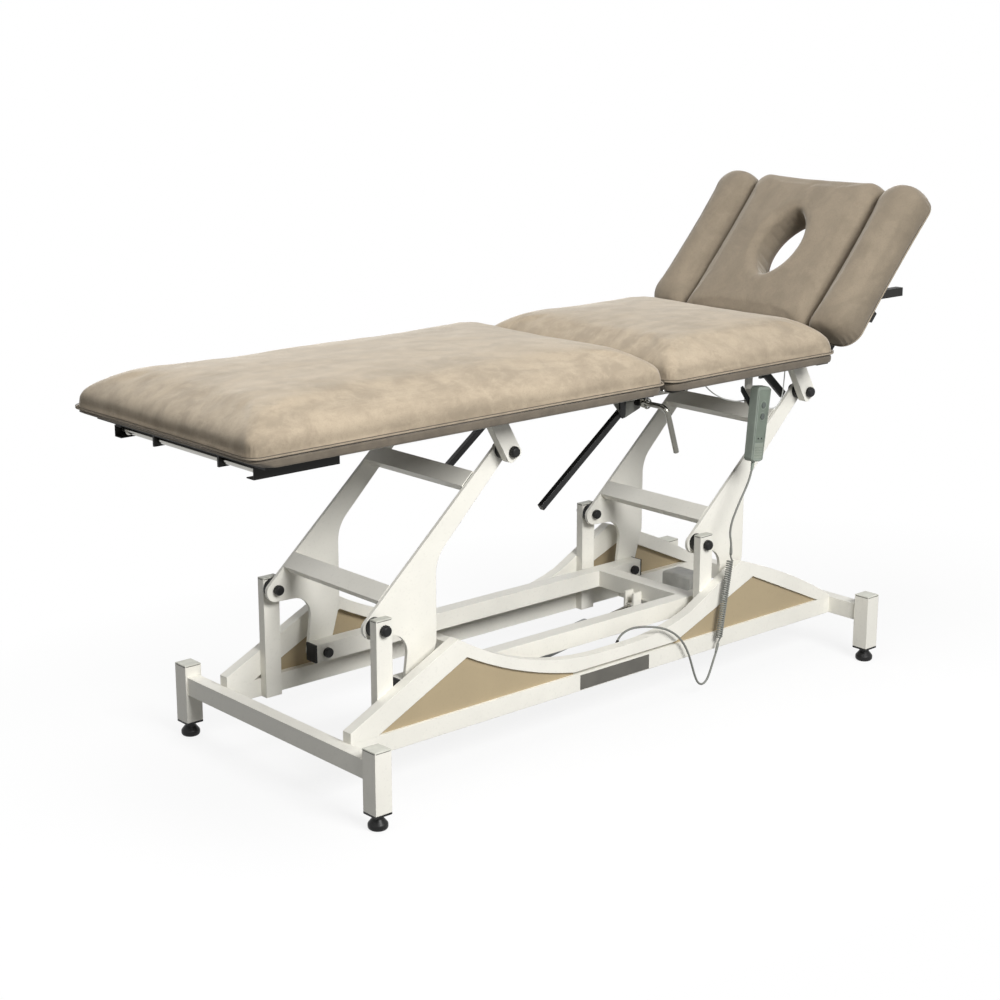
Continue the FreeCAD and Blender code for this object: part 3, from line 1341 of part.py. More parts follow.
def coil_path():
    """The helix of the curly cord in quarter turns, with an end on the middle line at each side."""
    axis = (V(*COIL_ENDS[1]) - V(*COIL_ENDS[0])).normalize()
    top = V(*COIL_ENDS[0]) + axis * float(cord_end_gap)
    foot = V(*COIL_ENDS[1]) - axis * float(cord_end_gap)
    side = axis.cross(V(0, 1, 0)).normalize()
    other = axis.cross(side)
    thick = float(coil_wire) * 2
    begin = top + axis * (thick * LEAD_SHARE)
    long = (foot - top).Length - 2 * thick * LEAD_SHARE
    lead = long / COIL_TURNS
    radius = float(coil_radius - coil_wire)
    quarters = COIL_TURNS * QUARTERS

    def at(n):
        turn = math.pi * HALF * n
        out = side * (radius * math.cos(turn)) + other * (radius * math.sin(turn))
        return begin + axis * (lead * n / QUARTERS) + out

    def way(n):
        turn = math.pi * HALF * n
        spin = side * (-radius * math.sin(turn)) + other * (radius * math.cos(turn))
        return (spin + axis * (lead / (2 * math.pi))).normalize()

    first = top + axis * (thick * STRAIGHT_SHARE)
    last = foot - axis * (thick * STRAIGHT_SHARE)
    edges = [Part.LineSegment(top, first).toShape()]
    edges += biarc(first, axis, at(0), way(0))
    for n in range(quarters):
        edges += biarc(at(n), way(n), at(n + 1), way(n + 1))
    edges += biarc(at(quarters), way(quarters), last, axis)
    edges.append(Part.LineSegment(last, foot).toShape())
    return Part.Wire(edges), lead, radius


def cords():
    for label, route in (("cord_upper", UPPER_ROUTE), ("cord_lower", LOWER_ROUTE)):
        wire, radii = cord_wire(route)
        cord, share = swept(wire, float(cord_radius))
        print(label, "length", round(wire.Length, 1), "least radius", round(min(radii), 1), "volume share",
              round(share, 4), "radii", [round(radius) for radius in radii])
        stand(feature(cord), label)
    wire, lead, radius = coil_path()
    wire_radius = float(coil_wire)
    coil, share = swept(wire, wire_radius)
    print("cord_coil wire length", round(wire.Length, 1), "least gap to itself",
          round(lead - 2 * wire_radius, 2), "volume share", round(share, 4))
    stand(feature(coil), "cord_coil")


base_frame()
pivots()
braces()
arm_pair("foot_arm", foot_pivot_x)
arm_pair("head_arm", head_pivot_x)
push_frame()
actuator()
upper_frame()
boards_and_cushions()
head_section()
arm_rests()
levers()
handset()
cords()
doc.recompute()

os.makedirs("parts", exist_ok=True)
for obj in doc.Objects:
    if "Invalid" in obj.State or "Error" in obj.State:
        raise RuntimeError(obj.Label + " failed to build")
for obj in PARTS:
    if obj.Shape.isNull() or not obj.Shape.isValid():
        raise RuntimeError(obj.Label + " has no valid shape")
for obj in PARTS:
    obj.Shape.exportStep("parts/" + obj.Label + ".step")
print("sub-parts", len(PARTS), "origin shift", round(float(shift), 4))
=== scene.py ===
import bpy
import bmesh
import json
import math
from mathutils import Matrix, Vector, noise

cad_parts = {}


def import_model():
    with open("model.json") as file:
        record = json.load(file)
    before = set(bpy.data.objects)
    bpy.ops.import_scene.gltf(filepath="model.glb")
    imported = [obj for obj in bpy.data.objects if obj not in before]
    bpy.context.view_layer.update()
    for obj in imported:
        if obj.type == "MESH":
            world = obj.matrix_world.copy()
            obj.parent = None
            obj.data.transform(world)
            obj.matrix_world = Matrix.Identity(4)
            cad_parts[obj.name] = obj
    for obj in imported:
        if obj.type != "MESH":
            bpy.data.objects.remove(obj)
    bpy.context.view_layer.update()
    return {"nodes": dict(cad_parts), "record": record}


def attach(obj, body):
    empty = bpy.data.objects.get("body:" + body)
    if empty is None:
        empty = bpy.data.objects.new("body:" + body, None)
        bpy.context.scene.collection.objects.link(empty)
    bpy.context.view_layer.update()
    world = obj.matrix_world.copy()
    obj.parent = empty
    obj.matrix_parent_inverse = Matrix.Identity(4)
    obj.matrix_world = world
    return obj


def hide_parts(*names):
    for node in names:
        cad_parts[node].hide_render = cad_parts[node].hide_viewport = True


# Height-adjustable treatment couch: materials, cords, upholstery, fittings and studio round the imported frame.
# +X is towards the head end, and the handset is on the -Y side. The frame is in metres. Places and sizes of
# pieces are in millimetres from the middle of the base, and in metres where they are multiplied by MM.

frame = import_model()
NODES = frame["nodes"]
SCENE = bpy.context.scene

MM = 0.001
# How far the middle of the base stands along X from the origin of the frame, in metres
SHIFT = 0.0236332


def at(x, y, z):
    """A point given in millimetres from the middle of the base."""
    return Vector((x * MM + SHIFT, y * MM, z * MM))


# ---- Materials. Lengths in them, such as the radius of an edge or the depth of a grain, are in metres.

# The sockets of a Mix node that is set to colours
MIX_FIRST, MIX_SECOND, MIX_RESULT = 6, 7, 2
BEVEL_SAMPLES = 4


def new_material(name, colour, roughness, metallic=0.0):
    mat = bpy.data.materials.new(name)
    mat.use_nodes = True
    mat.diffuse_color = (*colour, 1)
    shader = mat.node_tree.nodes["Principled BSDF"]
    shader.inputs["Base Color"].default_value = (*colour, 1)
    shader.inputs["Roughness"].default_value = roughness
    shader.inputs["Metallic"].default_value = metallic
    return mat, mat.node_tree, shader


def node(tree, kind, **values):
    made = tree.nodes.new(kind)
    for key, value in values.items():
        setattr(made, key, value)
    return made


def coordinates(tree, scale=(1, 1, 1), turn=(0, 0, 0)):
    source = node(tree, "ShaderNodeTexCoord")
    mapping = node(tree, "ShaderNodeMapping")
    mapping.inputs["Scale"].default_value = scale
    mapping.inputs["Rotation"].default_value = turn
    tree.links.new(source.outputs["Object"], mapping.inputs["Vector"])
    return mapping.outputs["Vector"]


def noise_field(tree, vector, scale, detail=3.0, rough=0.5, distortion=0.0):
    field = node(tree, "ShaderNodeTexNoise")
    field.inputs["Scale"].default_value = scale
    field.inputs["Detail"].default_value = detail
    field.inputs["Roughness"].default_value = rough
    field.inputs["Distortion"].default_value = distortion
    tree.links.new(vector, field.inputs["Vector"])
    return field.outputs["Fac"]


def bands(tree, vector, way, scale, distortion):
    field = node(tree, "ShaderNodeTexWave", wave_type="BANDS", bands_direction=way)
    field.inputs["Scale"].default_value = scale
    field.inputs["Distortion"].default_value = distortion
    tree.links.new(vector, field.inputs["Vector"])
    return field.outputs["Fac"]


def to_range(tree, value, low, high, start=0.3, end=0.7):
    """Low where the value is at start, high where it is at end, and even between."""
    made = node(tree, "ShaderNodeMapRange")
    made.inputs["From Min"].default_value = start
    made.inputs["From Max"].default_value = end
    made.inputs["To Min"].default_value = low
    made.inputs["To Max"].default_value = high
    tree.links.new(value, made.inputs["Value"])
    return made.outputs["Result"]


def mixed(tree, share, first, second):
    """A mix of two colours, each a socket or a colour."""
    made = node(tree, "ShaderNodeMix", data_type="RGBA")
    tree.links.new(share, made.inputs["Factor"])
    for socket, value in ((made.inputs[MIX_FIRST], first), (made.inputs[MIX_SECOND], second)):
        if isinstance(value, bpy.types.NodeSocket):
            tree.links.new(value, socket)
        else:
            socket.default_value = (*value, 1)
    return made.outputs[MIX_RESULT]


def bump(tree, height, distance, strength, under=None):
    made = node(tree, "ShaderNodeBump")
    made.inputs["Distance"].default_value = distance
    made.inputs["Strength"].default_value = strength
    tree.links.new(height, made.inputs["Height"])
    if under is not None:
        tree.links.new(under, made.inputs["Normal"])
    return made.outputs["Normal"]


def rounded_normal(tree, radius):
    made = node(tree, "ShaderNodeBevel", samples=BEVEL_SAMPLES)
    made.inputs["Radius"].default_value = radius
    return made.outputs["Normal"]


def shade(colour, factor):
    return tuple(min(1.0, channel * factor) for channel in colour)


def painted(name, colour, roughness=0.38, edge=0.0012, peel=0.00006, gloss=0.5):
    """Powder coat: a fine orange peel, softened edges, a little dust and unevenness."""
    mat, tree, shader = new_material(name, colour, roughness)
    shader.inputs["Specular IOR Level"].default_value = gloss
    where = coordinates(tree)
    cloud = noise_field(tree, where, scale=9.0, detail=4.0)
    dust = noise_field(tree, where, scale=160.0, detail=2.0)
    tone = mixed(tree, to_range(tree, cloud, 0.0, 1.0), shade(colour, 0.95), shade(colour, 1.03))
    tone = mixed(tree, to_range(tree, dust, 0.0, 0.35, start=0.58, end=0.72), tone, shade(colour, 0.86))
    tree.links.new(tone, shader.inputs["Base Color"])
    tree.links.new(to_range(tree, cloud, roughness - 0.05, roughness + 0.08), shader.inputs["Roughness"])
    grain = noise_field(tree, where, scale=620.0, detail=1.0)
    normal = bump(tree, grain, peel, strength=0.7, under=rounded_normal(tree, edge))
    tree.links.new(normal, shader.inputs["Normal"])
    return mat


def moulded(name, colour, roughness=0.5, grain_scale=900.0, depth=0.00005, gloss=0.5):
    """Moulded plastic or rubber with a fine spark texture and paler and darker patches at random."""
    mat, tree, shader = new_material(name, colour, roughness)
    shader.inputs["Specular IOR Level"].default_value = gloss
    where = coordinates(tree)
    cloud = noise_field(tree, where, scale=22.0, detail=4.0)
    grain = noise_field(tree, where, grain_scale, detail=2.0)
    tone = mixed(tree, to_range(tree, cloud, 0.0, 1.0), shade(colour, 0.86), shade(colour, 1.18))
    tree.links.new(tone, shader.inputs["Base Color"])
    tree.links.new(to_range(tree, cloud, roughness - 0.06, roughness + 0.1), shader.inputs["Roughness"])
    normal = bump(tree, grain, depth, strength=0.8, under=rounded_normal(tree, 0.0008))
    tree.links.new(normal, shader.inputs["Normal"])
    return mat


def plated(name, colour, roughness):
    """Bright plated steel with faint drawn lines and small smears."""
    mat, tree, shader = new_material(name, colour, roughness, metallic=1.0)
    lines = noise_field(tree, coordinates(tree, scale=(1, 0.02, 1)), scale=900.0, detail=2.0)
    smear = noise_field(tree, coordinates(tree), scale=30.0, detail=4.0)
    tone = mixed(tree, to_range(tree, smear, 0.0, 1.0), shade(colour, 0.9), colour)
    tree.links.new(tone, shader.inputs["Base Color"])
    tree.links.new(to_range(tree, smear, roughness - 0.05, roughness + 0.12), shader.inputs["Roughness"])
    normal = bump(tree, lines, 0.00001, strength=0.4, under=rounded_normal(tree, 0.0006))
    tree.links.new(normal, shader.inputs["Normal"])
    return mat


def suede(name, colour, marks=1.0):
    """Brushed microfibre: nap marks where it was stroked, mottling and a fine short pile."""
    mat, tree, shader = new_material(name, colour, roughness=0.95)
    shader.inputs["Sheen Weight"].default_value = 0.75
    shader.inputs["Sheen Roughness"].default_value = 0.38
    shader.inputs["Sheen Tint"].default_value = (1.0, 0.95, 0.87, 1.0)
    shader.inputs["Specular IOR Level"].default_value = 0.12
    drawn = coordinates(tree, scale=(0.5, 1.5, 1.2), turn=(0, 0, 0.5))
    strokes = noise_field(tree, drawn, scale=7.0, detail=6.0, rough=0.66, distortion=0.9)
    turned = coordinates(tree, turn=(0.3, 0.2, 0))
    blots = noise_field(tree, turned, scale=26.0, detail=5.0, rough=0.68, distortion=0.4)
    pile = noise_field(tree, coordinates(tree), scale=1500.0, detail=2.0)
    fleck = noise_field(tree, coordinates(tree), scale=330.0, detail=3.0, rough=0.7)
    dark = shade(colour, 1 - 0.14 * marks)
    light = shade(colour, 1 + 0.12 * marks)
    tone = mixed(tree, to_range(tree, strokes, 0.0, 1.0, start=0.4, end=0.6), dark, light)
    pale = to_range(tree, blots, 0.0, 0.62 * marks, start=0.49, end=0.64)
    tone = mixed(tree, pale, tone, shade(colour, 1.24))
    deep = to_range(tree, blots, 0.5 * marks, 0.0, start=0.34, end=0.45)
    tone = mixed(tree, deep, tone, shade(colour, 0.78))
    specks = to_range(tree, fleck, 0.0, 0.45, start=0.5, end=0.7)
    tone = mixed(tree, specks, tone, shade(colour, 0.76))
    tree.links.new(tone, shader.inputs["Base Color"])
    tree.links.new(to_range(tree, strokes, 0.88, 1.0), shader.inputs["Roughness"])
    fine = bump(tree, pile, 0.00035, strength=0.5)
    middle = bump(tree, fleck, 0.0004, strength=0.35, under=fine)
    tree.links.new(bump(tree, strokes, 0.002, strength=0.4, under=middle), shader.inputs["Normal"])
    return mat


def edge_cloth(name, colour):
    """The woven welt and the drawn cloth along an upholstered edge."""
    mat, tree, shader = new_material(name, colour, roughness=0.85)
    shader.inputs["Sheen Weight"].default_value = 0.2
    where = coordinates(tree)
    weave = bands(tree, where, "DIAGONAL", scale=520.0, distortion=1.5)
    cloud = noise_field(tree, where, scale=40.0, detail=3.0)
    tone = mixed(tree, to_range(tree, cloud, 0.0, 1.0), shade(colour, 0.82), shade(colour, 1.12))
    tree.links.new(tone, shader.inputs["Base Color"])
    tree.links.new(bump(tree, weave, 0.0002, strength=0.6), shader.inputs["Normal"])
    return mat


def timber(name, colour):
    """Plywood: plies on the edge, a faint grain on the faces, dull sealed finish."""
    mat, tree, shader = new_material(name, colour, roughness=0.6)
    plies = bands(tree, coordinates(tree), "Z", scale=95.0, distortion=0.4)
    along = coordinates(tree, scale=(1, 14, 14))
    grain = noise_field(tree, along, scale=6.0, detail=5.0, rough=0.6, distortion=0.6)
    tone = mixed(tree, to_range(tree, grain, 0.0, 1.0), shade(colour, 0.8), shade(colour, 1.15))
    dark_plies = to_range(tree, plies, 0.0, 0.35, start=0.35, end=0.65)
    tone = mixed(tree, dark_plies, tone, shade(colour, 0.66))
    tree.links.new(tone, shader.inputs["Base Color"])
    normal = bump(tree, grain, 0.0002, strength=0.5, under=rounded_normal(tree, 0.0012))
    tree.links.new(normal, shader.inputs["Normal"])
    return mat


WHITE = (0.87, 0.85, 0.775)
TAUPE = (0.345, 0.285, 0.21)
MATERIALS = {
    "frame_white": painted("ivory_powder_coat", WHITE),
    "cap_white": moulded("ivory_cap", (0.60, 0.60, 0.535), 0.45, 700.0, 0.00003),
    "box_white": moulded("control_box_shell", (0.80, 0.80, 0.76), 0.45),
    "black_steel": painted("black_steel", (0.016, 0.0155, 0.014), 0.42, gloss=0.2),
    "black_plastic": moulded("black_plastic", (0.010, 0.010, 0.010), 0.4, gloss=0.25),
    "upholstery": suede("taupe_suede", TAUPE),
    # A darker copy of the same suede, with fainter marks, for the pads of the head end: painted shade, since
    # that end faces away from the light.
    "shaded_head_upholstery": suede("painted_shade_head_suede", shade(TAUPE, 0.66), 0.55),
    # Dark grey for the white-painted lever hangers: painted shade for the shadow that the pad casts on them.
    "hanger": painted("hanger_painted_shade_grey", (0.17, 0.17, 0.15), 0.5),
    "gloss_black": painted("gloss_black", (0.008, 0.008, 0.008), 0.22, gloss=0.3),
    "label": moulded("handset_label", (0.155, 0.185, 0.15), 0.42, 1300.0, 0.00002),
    "label_low": moulded("handset_label_low", (0.27, 0.30, 0.25), 0.45, 1300.0, 0.00002),
    "loop_cable": moulded("loop_cable", (0.62, 0.63, 0.6), 0.5),
    "gap_dark": moulded("cap_gap", (0.10, 0.095, 0.08), 0.7),
    # The crank's plated steel has a very dark base colour: painted reflection shade, standing in for dark
    # surroundings that the chrome would mirror.
    "crank_steel": plated("crank_steel", (0.22, 0.215, 0.19), 0.1),
    "board": timber("edge_board", (0.235, 0.175, 0.130)),
    "panel_tan": painted("tan_panel", (0.43, 0.345, 0.215), 0.55, 0.0006, 0.00004),
    "name_plate": moulded("bare_plate", (0.105, 0.10, 0.085), 0.38, 1200.0, 0.00002),
    # Bright steel is darkened a little too: painted reflection shade, for contrast against the white
    # surroundings.
    "bright_steel": plated("bright_steel", (0.42, 0.41, 0.38), 0.14),
    "actuator_grey": moulded("actuator_housing_grey", (0.30, 0.31, 0.31), 0.5),
    "handset_grey": moulded("handset_shell", (0.25, 0.285, 0.245), 0.5, 1000.0, 0.00006),
    "button_grey": moulded("keypad_rubber", (0.10, 0.115, 0.105), 0.62),
    "cord": moulded("cord_sheath", (0.20, 0.205, 0.185), 0.5, 500.0, 0.00004),
    "welt": edge_cloth("piping_cloth", shade(TAUPE, 0.95)),
    # The cloth round the boards is the pads' taupe darkened to 0.4: painted shade for the shadow under the
    # pads' overhanging edge.
    "wrap": edge_cloth("board_wrap_cloth_painted_shade", shade(TAUPE, 0.4)),
    # A thin dark line along the crease above the piping: painted shade, much darker than the cloth.
    "crease_shade": moulded("crease_painted_shade", shade(TAUPE, 0.3), 0.8, 1500.0),
}
SLOT_OF_NODE = {part["node"]: part["material_slot"] for part in frame["record"]["subparts"]}
for node_name, node_object in NODES.items():
    node_object.data.materials.clear()
    node_object.data.materials.append(MATERIALS[SLOT_OF_NODE[node_name]])
# The lever hangers take that dark grey of painted shade in place of their white paint.
NODES["lever_hangers"].data.materials[0] = MATERIALS["hanger"]
NODES["lever_bars"].data.materials[0] = MATERIALS["gloss_black"]


# ---- Meshes through rings of points

def skin(name, rings, closed=False):
    """A mesh through rings of as many points each: capped at both ends, or closed on itself."""
    mesh = bmesh.new()
    made = [[mesh.verts.new(point) for point in ring] for ring in rings]
    pairs = list(zip(made, made[1:])) + ([(made[-1], made[0])] if closed else [])
    for lower, upper in pairs:
        count = len(lower)
        for n in range(count):
            m = (n + 1) % count
            mesh.faces.new((lower[n], lower[m], upper[m], upper[n]))
    if not closed:
        mesh.faces.new(list(reversed(made[0])))
        mesh.faces.new(made[-1])
    bmesh.ops.recalc_face_normals(mesh, faces=mesh.faces)
    data = bpy.data.meshes.new(name)
    mesh.to_mesh(data)
    mesh.free()
    return data


def smooth_faces(mesh):
    mesh.polygons.foreach_set("use_smooth", [True] * len(mesh.polygons))


def piece(name, rings, material, body, smooth=True, closed=False):
    """A skin with its material and the body that it goes with."""
    mesh = skin(name, rings, closed)
    obj = bpy.data.objects.new(name, mesh)
    SCENE.collection.objects.link(obj)
    mesh.materials.append(MATERIALS[material])
    if smooth:
        smooth_faces(mesh)
    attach(obj, body)
    return obj


def circle_turns(sides):
    return [2 * math.pi * k / sides for k in range(sides)]


def sweep(points, radii, sides):
    """Rings of points round a path, one radius in millimetres to each point."""
    rings = []
    side = (points[1] - points[0]).orthogonal().normalized()
    for n, (point, radius) in enumerate(zip(points, radii)):
        way = (points[min(n + 1, len(points) - 1)] - points[max(n - 1, 0)]).normalized()
        side = (side - way * side.dot(way)).normalized()
        other = way.cross(side)
        rings.append([point + (side * math.cos(t) + other * math.sin(t)) * (radius * MM)
                      for t in circle_turns(sides)])
    return rings


# How much of an inset goes to the corner radius, the largest corner as a share of the shorter side, and the
# length of a side from which on it is drawn in by the whole amount
CORNER_GAIN = 0.35
LARGEST_CORNER = 0.49
FULL_DRAW = 300


def rounded_ring(rect, corners, draw=0.0, inset=0.0, steps=8):
    """Points of a rounded rectangle, its sides drawn in a little.

    The rectangle is low x, high x, low y, high y. Its corners start at high x and high y, anticlockwise.
    """
    x0, x1, y0, y1 = rect[0] + inset, rect[1] - inset, rect[2] + inset, rect[3] - inset
    most = min(x1 - x0, y1 - y0) * LARGEST_CORNER
    radii = [max(min(corner + inset * CORNER_GAIN, most), 1.0) for corner in corners]
    places = [(x1, y1, -1, -1, 0), (x0, y1, 1, -1, 90), (x0, y0, 1, 1, 180), (x1, y0, -1, 1, 270)]
    arcs = []
    for (x, y, sx, sy, start), radius in zip(places, radii):
        turns = [math.radians(start + 90 * k / steps) for k in range(steps + 1)]
        arcs.append([(x + sx * radius + radius * math.cos(t), y + sy * radius + radius * math.sin(t))
                     for t in turns])
    points = []
    for n, arc in enumerate(arcs):
        points += arc
        last, first = arc[-1], arcs[(n + 1) % 4][0]
        drawn = draw * min(1.0, math.hypot(first[0] - last[0], first[1] - last[1]) / FULL_DRAW)
        outward = math.radians(places[n][4] + 90)
        inward = (-math.cos(outward), -math.sin(outward))
        for k in range(1, steps * 2):
            t = k / (steps * 2)
            pull = drawn * 4 * t * (1 - t)
            points.append((last[0] + (first[0] - last[0]) * t + inward[0] * pull,
                           last[1] + (first[1] - last[1]) * t + inward[1] * pull))
    return points


# ---- Cords

UPPER_ROUTE = [
    (418, -244.5, 534), (414, -244.5, 508), (400, -245, 480), (382, -245, 454), (364, -246, 428),
    (350, -246, 402), (344, -246, 376), (351, -246, 350), (350, -246, 324),
]
LOWER_ROUTE = [
    (315, -246, 118), (308, -247, 98), (298, -247, 76), (290, -246, 54), (280, -246, 36), (266, -245, 28),
    (251, -245, 36), (240, -245, 56), (231, -245, 80), (221, -245, 106), (207, -245, 134), (186, -245, 160),
    (160, -245, 180), (132, -243, 194), (106, -236, 201), (82, -222, 203), (62, -206, 198), (48, -194, 184),
    (40, -190, 167), (38, -190, 151),
]
# The line that the curly cord winds round, from the end of one cord to the start of the other
COIL_ROUTE = [(350, -246, 324), (332.5, -246, 221), (315, -246, 118)]
CORD_RADIUS = 2.5 * MM
COIL_TURNS = 36
STEPS_IN_TURN = 16
COIL_RADIUS = 8.2 * MM
COIL_WIRE = 1.9 * MM
COIL_LEAD = 3.2 * 2 * COIL_WIRE
END_GAP = 0.4 * MM
# Tapered sleeves over the ends of the cords
SLEEVE_LENGTH = 24 * MM
RIBBED = [4.6, 4.6, 3.7, 4.4, 3.6, 4.1, 3.4, 3.8, 3.2, 3.4, 2.8]
PLAIN = [3.0, 3.4, 3.4, 3.2, 2.9, 2.6]


def spline_object(name, points, radius, material="cord"):
    """A round cord or cable along a smooth line, in the cord material unless another is given."""
    curve = bpy.data.curves.new(name, "CURVE")
    curve.dimensions = "3D"
    curve.bevel_depth = radius
    curve.bevel_resolution = 4
    curve.use_fill_caps = True
    curve.resolution_u = 8
    spline = curve.splines.new("NURBS")
    spline.points.add(len(points) - 1)
    for place, point in zip(spline.points, points):
        place.co = (*point, 1)
    spline.order_u = 3
    spline.use_endpoint_u = True
    obj = bpy.data.objects.new(name, curve)
    SCENE.collection.objects.link(obj)
    curve.materials.append(MATERIALS[material])
    return obj


def points_on_route(route):
    """The points of a route's own smooth line, in order."""
    obj = spline_object("route_line", [at(*p) for p in route], 0.0)
    line = bpy.data.meshes.new_from_object(obj)
    points = [vertex.co.copy() for vertex in line.vertices]
    bpy.data.objects.remove(obj)
    return points


def coil_points():
    """The helix between the two cords, led in from the middle line at both ends."""
    line = points_on_route(COIL_ROUTE)
    axis = (line[-1] - line[0]).normalized()
    top = line[0] + axis * END_GAP
    foot = line[-1] - axis * END_GAP
    side = axis.cross(Vector((0, 1, 0))).normalized()
    other = axis.cross(side)
    span = (foot - top).length - 2 * COIL_LEAD
    reach = COIL_RADIUS - COIL_WIRE
    steps = COIL_TURNS * STEPS_IN_TURN
    points = [top, top + axis * (2 * COIL_WIRE)]
    for n in range(steps + 1):
        turn = 2 * math.pi * n / STEPS_IN_TURN
        along = COIL_LEAD + span * n / steps
        points.append(top + axis * along + (side * math.cos(turn) + other * math.sin(turn)) * reach)
    return points + [foot - axis * (2 * COIL_WIRE), foot]


def cords():
    upper = spline_object("cord_upper_run", [at(*p) for p in UPPER_ROUTE], CORD_RADIUS)
    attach(upper, "handset")
    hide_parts("cord_upper")
    coil = spline_object("cord_coil_turns", coil_points(), COIL_WIRE)
    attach(coil, "base")
    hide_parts("cord_coil")
    lower = spline_object("cord_lower_run", [at(*p) for p in LOWER_ROUTE], CORD_RADIUS)
    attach(lower, "base")
    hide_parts("cord_lower")


cords()


# ---- Upholstery

# The boards under the level cushions, and the head hinge that the head end is tilted about
BOARD_LOW = 749.0
BOARD_TOP = 765.0
HEAD_TILT = math.radians(48.2)
HINGE_X, HINGE_Z = 656.0, 754.0

# The face hole in the head pad: its middle from the hinge, half length, half width and radius of its ends
HOLE_X, HOLE_LONG, HOLE_WIDE, HOLE_TIP = 250.0, 97.0, 59.0, 24.0
HOLE_STEPS = 14
HOLE_BELOW, HOLE_ABOVE = 30, 60
# The cover rolls into the hole over this radius, from this height of the crown, on the pad's upper half
RIM_RADIUS = 15.0
RIM_LEVEL = 77.0
UPPER_HALF = 0.04

# The two kinds of pads: heights of the underside and of the crown above it, the remeshing grid and the
# furthest that the cloth may swell (both in metres), whether it is tilted with the head end, and the height
# and inset of its piping
LEVEL = {"low": BOARD_TOP, "thick": 90.0, "voxel": 0.008, "cap": 0.007, "tilted": False, "piping": 771.5,
         "piping_inset": 2.4}
TILTED = {"low": -4.8, "thick": 83.0, "voxel": 0.005, "cap": 0.0025, "tilted": True, "piping": -2.2,
          "piping_inset": 3.4}

# Name, kind, body, outline of the pad, outline of its piping, corner radii, roll of the edge, seed
PADS = [
    ("leg", LEVEL, "leg_section", (-1005.0, 60.5, -315.4, 315.4), (-1007.0, 62.0, -317.6, 317.6),
     (30.0, 26.0, 26.0, 30.0), 37.0, 3.0),
    ("mid", LEVEL, "mid_section", (67.5, 622.0, -315.4, 315.4), (66.0, 624.0, -317.6, 317.6),
     (32.0, 30.0, 30.0, 32.0), 34.0, 7.0),
    ("head", TILTED, "head_section", (27.5, 459.5, -195.2, 195.2), (26.0, 461.0, -196.0, 196.0),
     (30.0, 14.0, 14.0, 30.0), 4.5, 11.0),
    ("right_rest", TILTED, "right_rest", (27.5, 459.5, -316.2, -199.8), (26.0, 461.0, -317.6, -199.0),
     (44.0, 12.0, 42.0, 40.0), 5.0, 16.0),
    ("left_rest", TILTED, "left_rest", (27.5, 459.5, 199.8, 316.2), (26.0, 461.0, 199.0, 317.6),
     (40.0, 42.0, 12.0, 44.0), 5.0, 18.0),
]

# Height and inset of each ring of a pad as shares of its crown height and of its edge roll,
# and its inset towards the middle as a share of the half width
PAD_PROFILE = [
    (0.0, 0.16, 0.0), (0.04, 0.08, 0.0), (0.09, 0.04, 0.0), (0.15, 0.0, 0.0), (0.26, -0.01, 0.0),
    (0.35, 0.02, 0.0), (0.43, 0.09, 0.0), (0.51, 0.23, 0.0), (0.59, 0.44, 0.0), (0.66, 0.7, 0.0),
    (0.73, 1.02, 0.0), (0.79, 1.36, 0.01), (0.845, 1.72, 0.04), (0.89, 2.0, 0.1), (0.93, 2.0, 0.24),
    (0.965, 2.0, 0.43), (0.987, 2.0, 0.65), (1.0, 2.0, 0.92),
]
PAD_DRAW = 4.0

# Rows of a board wrapped in cloth: height above its underside, how far the sides stand in from the outline of
# the pad, and how far a bevelled foot end stands in. An end at the joint with another pad stands in further.
BOARD_ROWS = [(0.0, 10.0, 44.0), (1.4, 6.5, 38.0), (5.0, 5.2, 28.0), (10.0, 4.8, 15.0), (14.0, 5.0, 7.0),
              (17.2, 7.0, 8.0)]
JOINT_GAP = 4.0

# Piping and the dark line of painted crease shade above it: radius of each, how far the shade line lies above
# the piping and further out, and their draw
PIPING_RADIUS, CREASE_SHADE_RADIUS = 2.4, 0.8
CREASE_SHADE_RISE, CREASE_SHADE_OUT = 3.2, 1.2
PIPING_DRAW = 3.0

# The cloth simulation: frames, pressure, stiffness, and how high above the underside the cover is held
CLOTH_FRAMES = 20
CLOTH_PRESSURE = 4.0
CLOTH_STIFFNESS = 15.0
HELD = 7 * MM

# Gathers round the lower corners: how close, how deep and how uneven they are, the heights that they are at
# as shares of the pad's, and how far from a corner's centre they start, as a share of its radius
GATHERS, GATHER_DEPTH, GATHER_WANDER = 20, 0.9, 0.02
GATHER_MIDDLE, GATHER_REACH = 0.2, 0.3
GATHER_START = 0.7
# The unevenness of the top: where it starts and how soon it is whole, as shares of the pad's height, the
# scale and height of its broad and of its fine waves, and how much lower the top lies for it
TOP_START, TOP_BLEND = 0.25, 0.4
BROAD_WAVES, BROAD_HEIGHT = 0.0085, 1.7
FINE_WAVES, FINE_HEIGHT = 0.026, 0.7
SUNKEN = 0.9


def pad_mesh(name, rect, low, thick, corners, roll):
    """A closed crowned pad in millimetres, before it is filled out."""
    half = min(rect[1] - rect[0], rect[3] - rect[2]) / 2
    rings = []
    for height, edge, middle in PAD_PROFILE:
        inset = roll * edge + (half - roll * 2) * middle
        ring = rounded_ring(rect, corners, PAD_DRAW, inset)
        rings.append([(x, y, low + thick * height) for x, y in ring])
    return skin(name, rings)


def hole_arc():
    """Half the length between the rounded ends, and how far a long arc's centre lies past the middle line."""
    long = HOLE_LONG - HOLE_TIP
    wide = HOLE_WIDE - HOLE_TIP
    return long, (long * long - wide * wide) / (2 * wide)


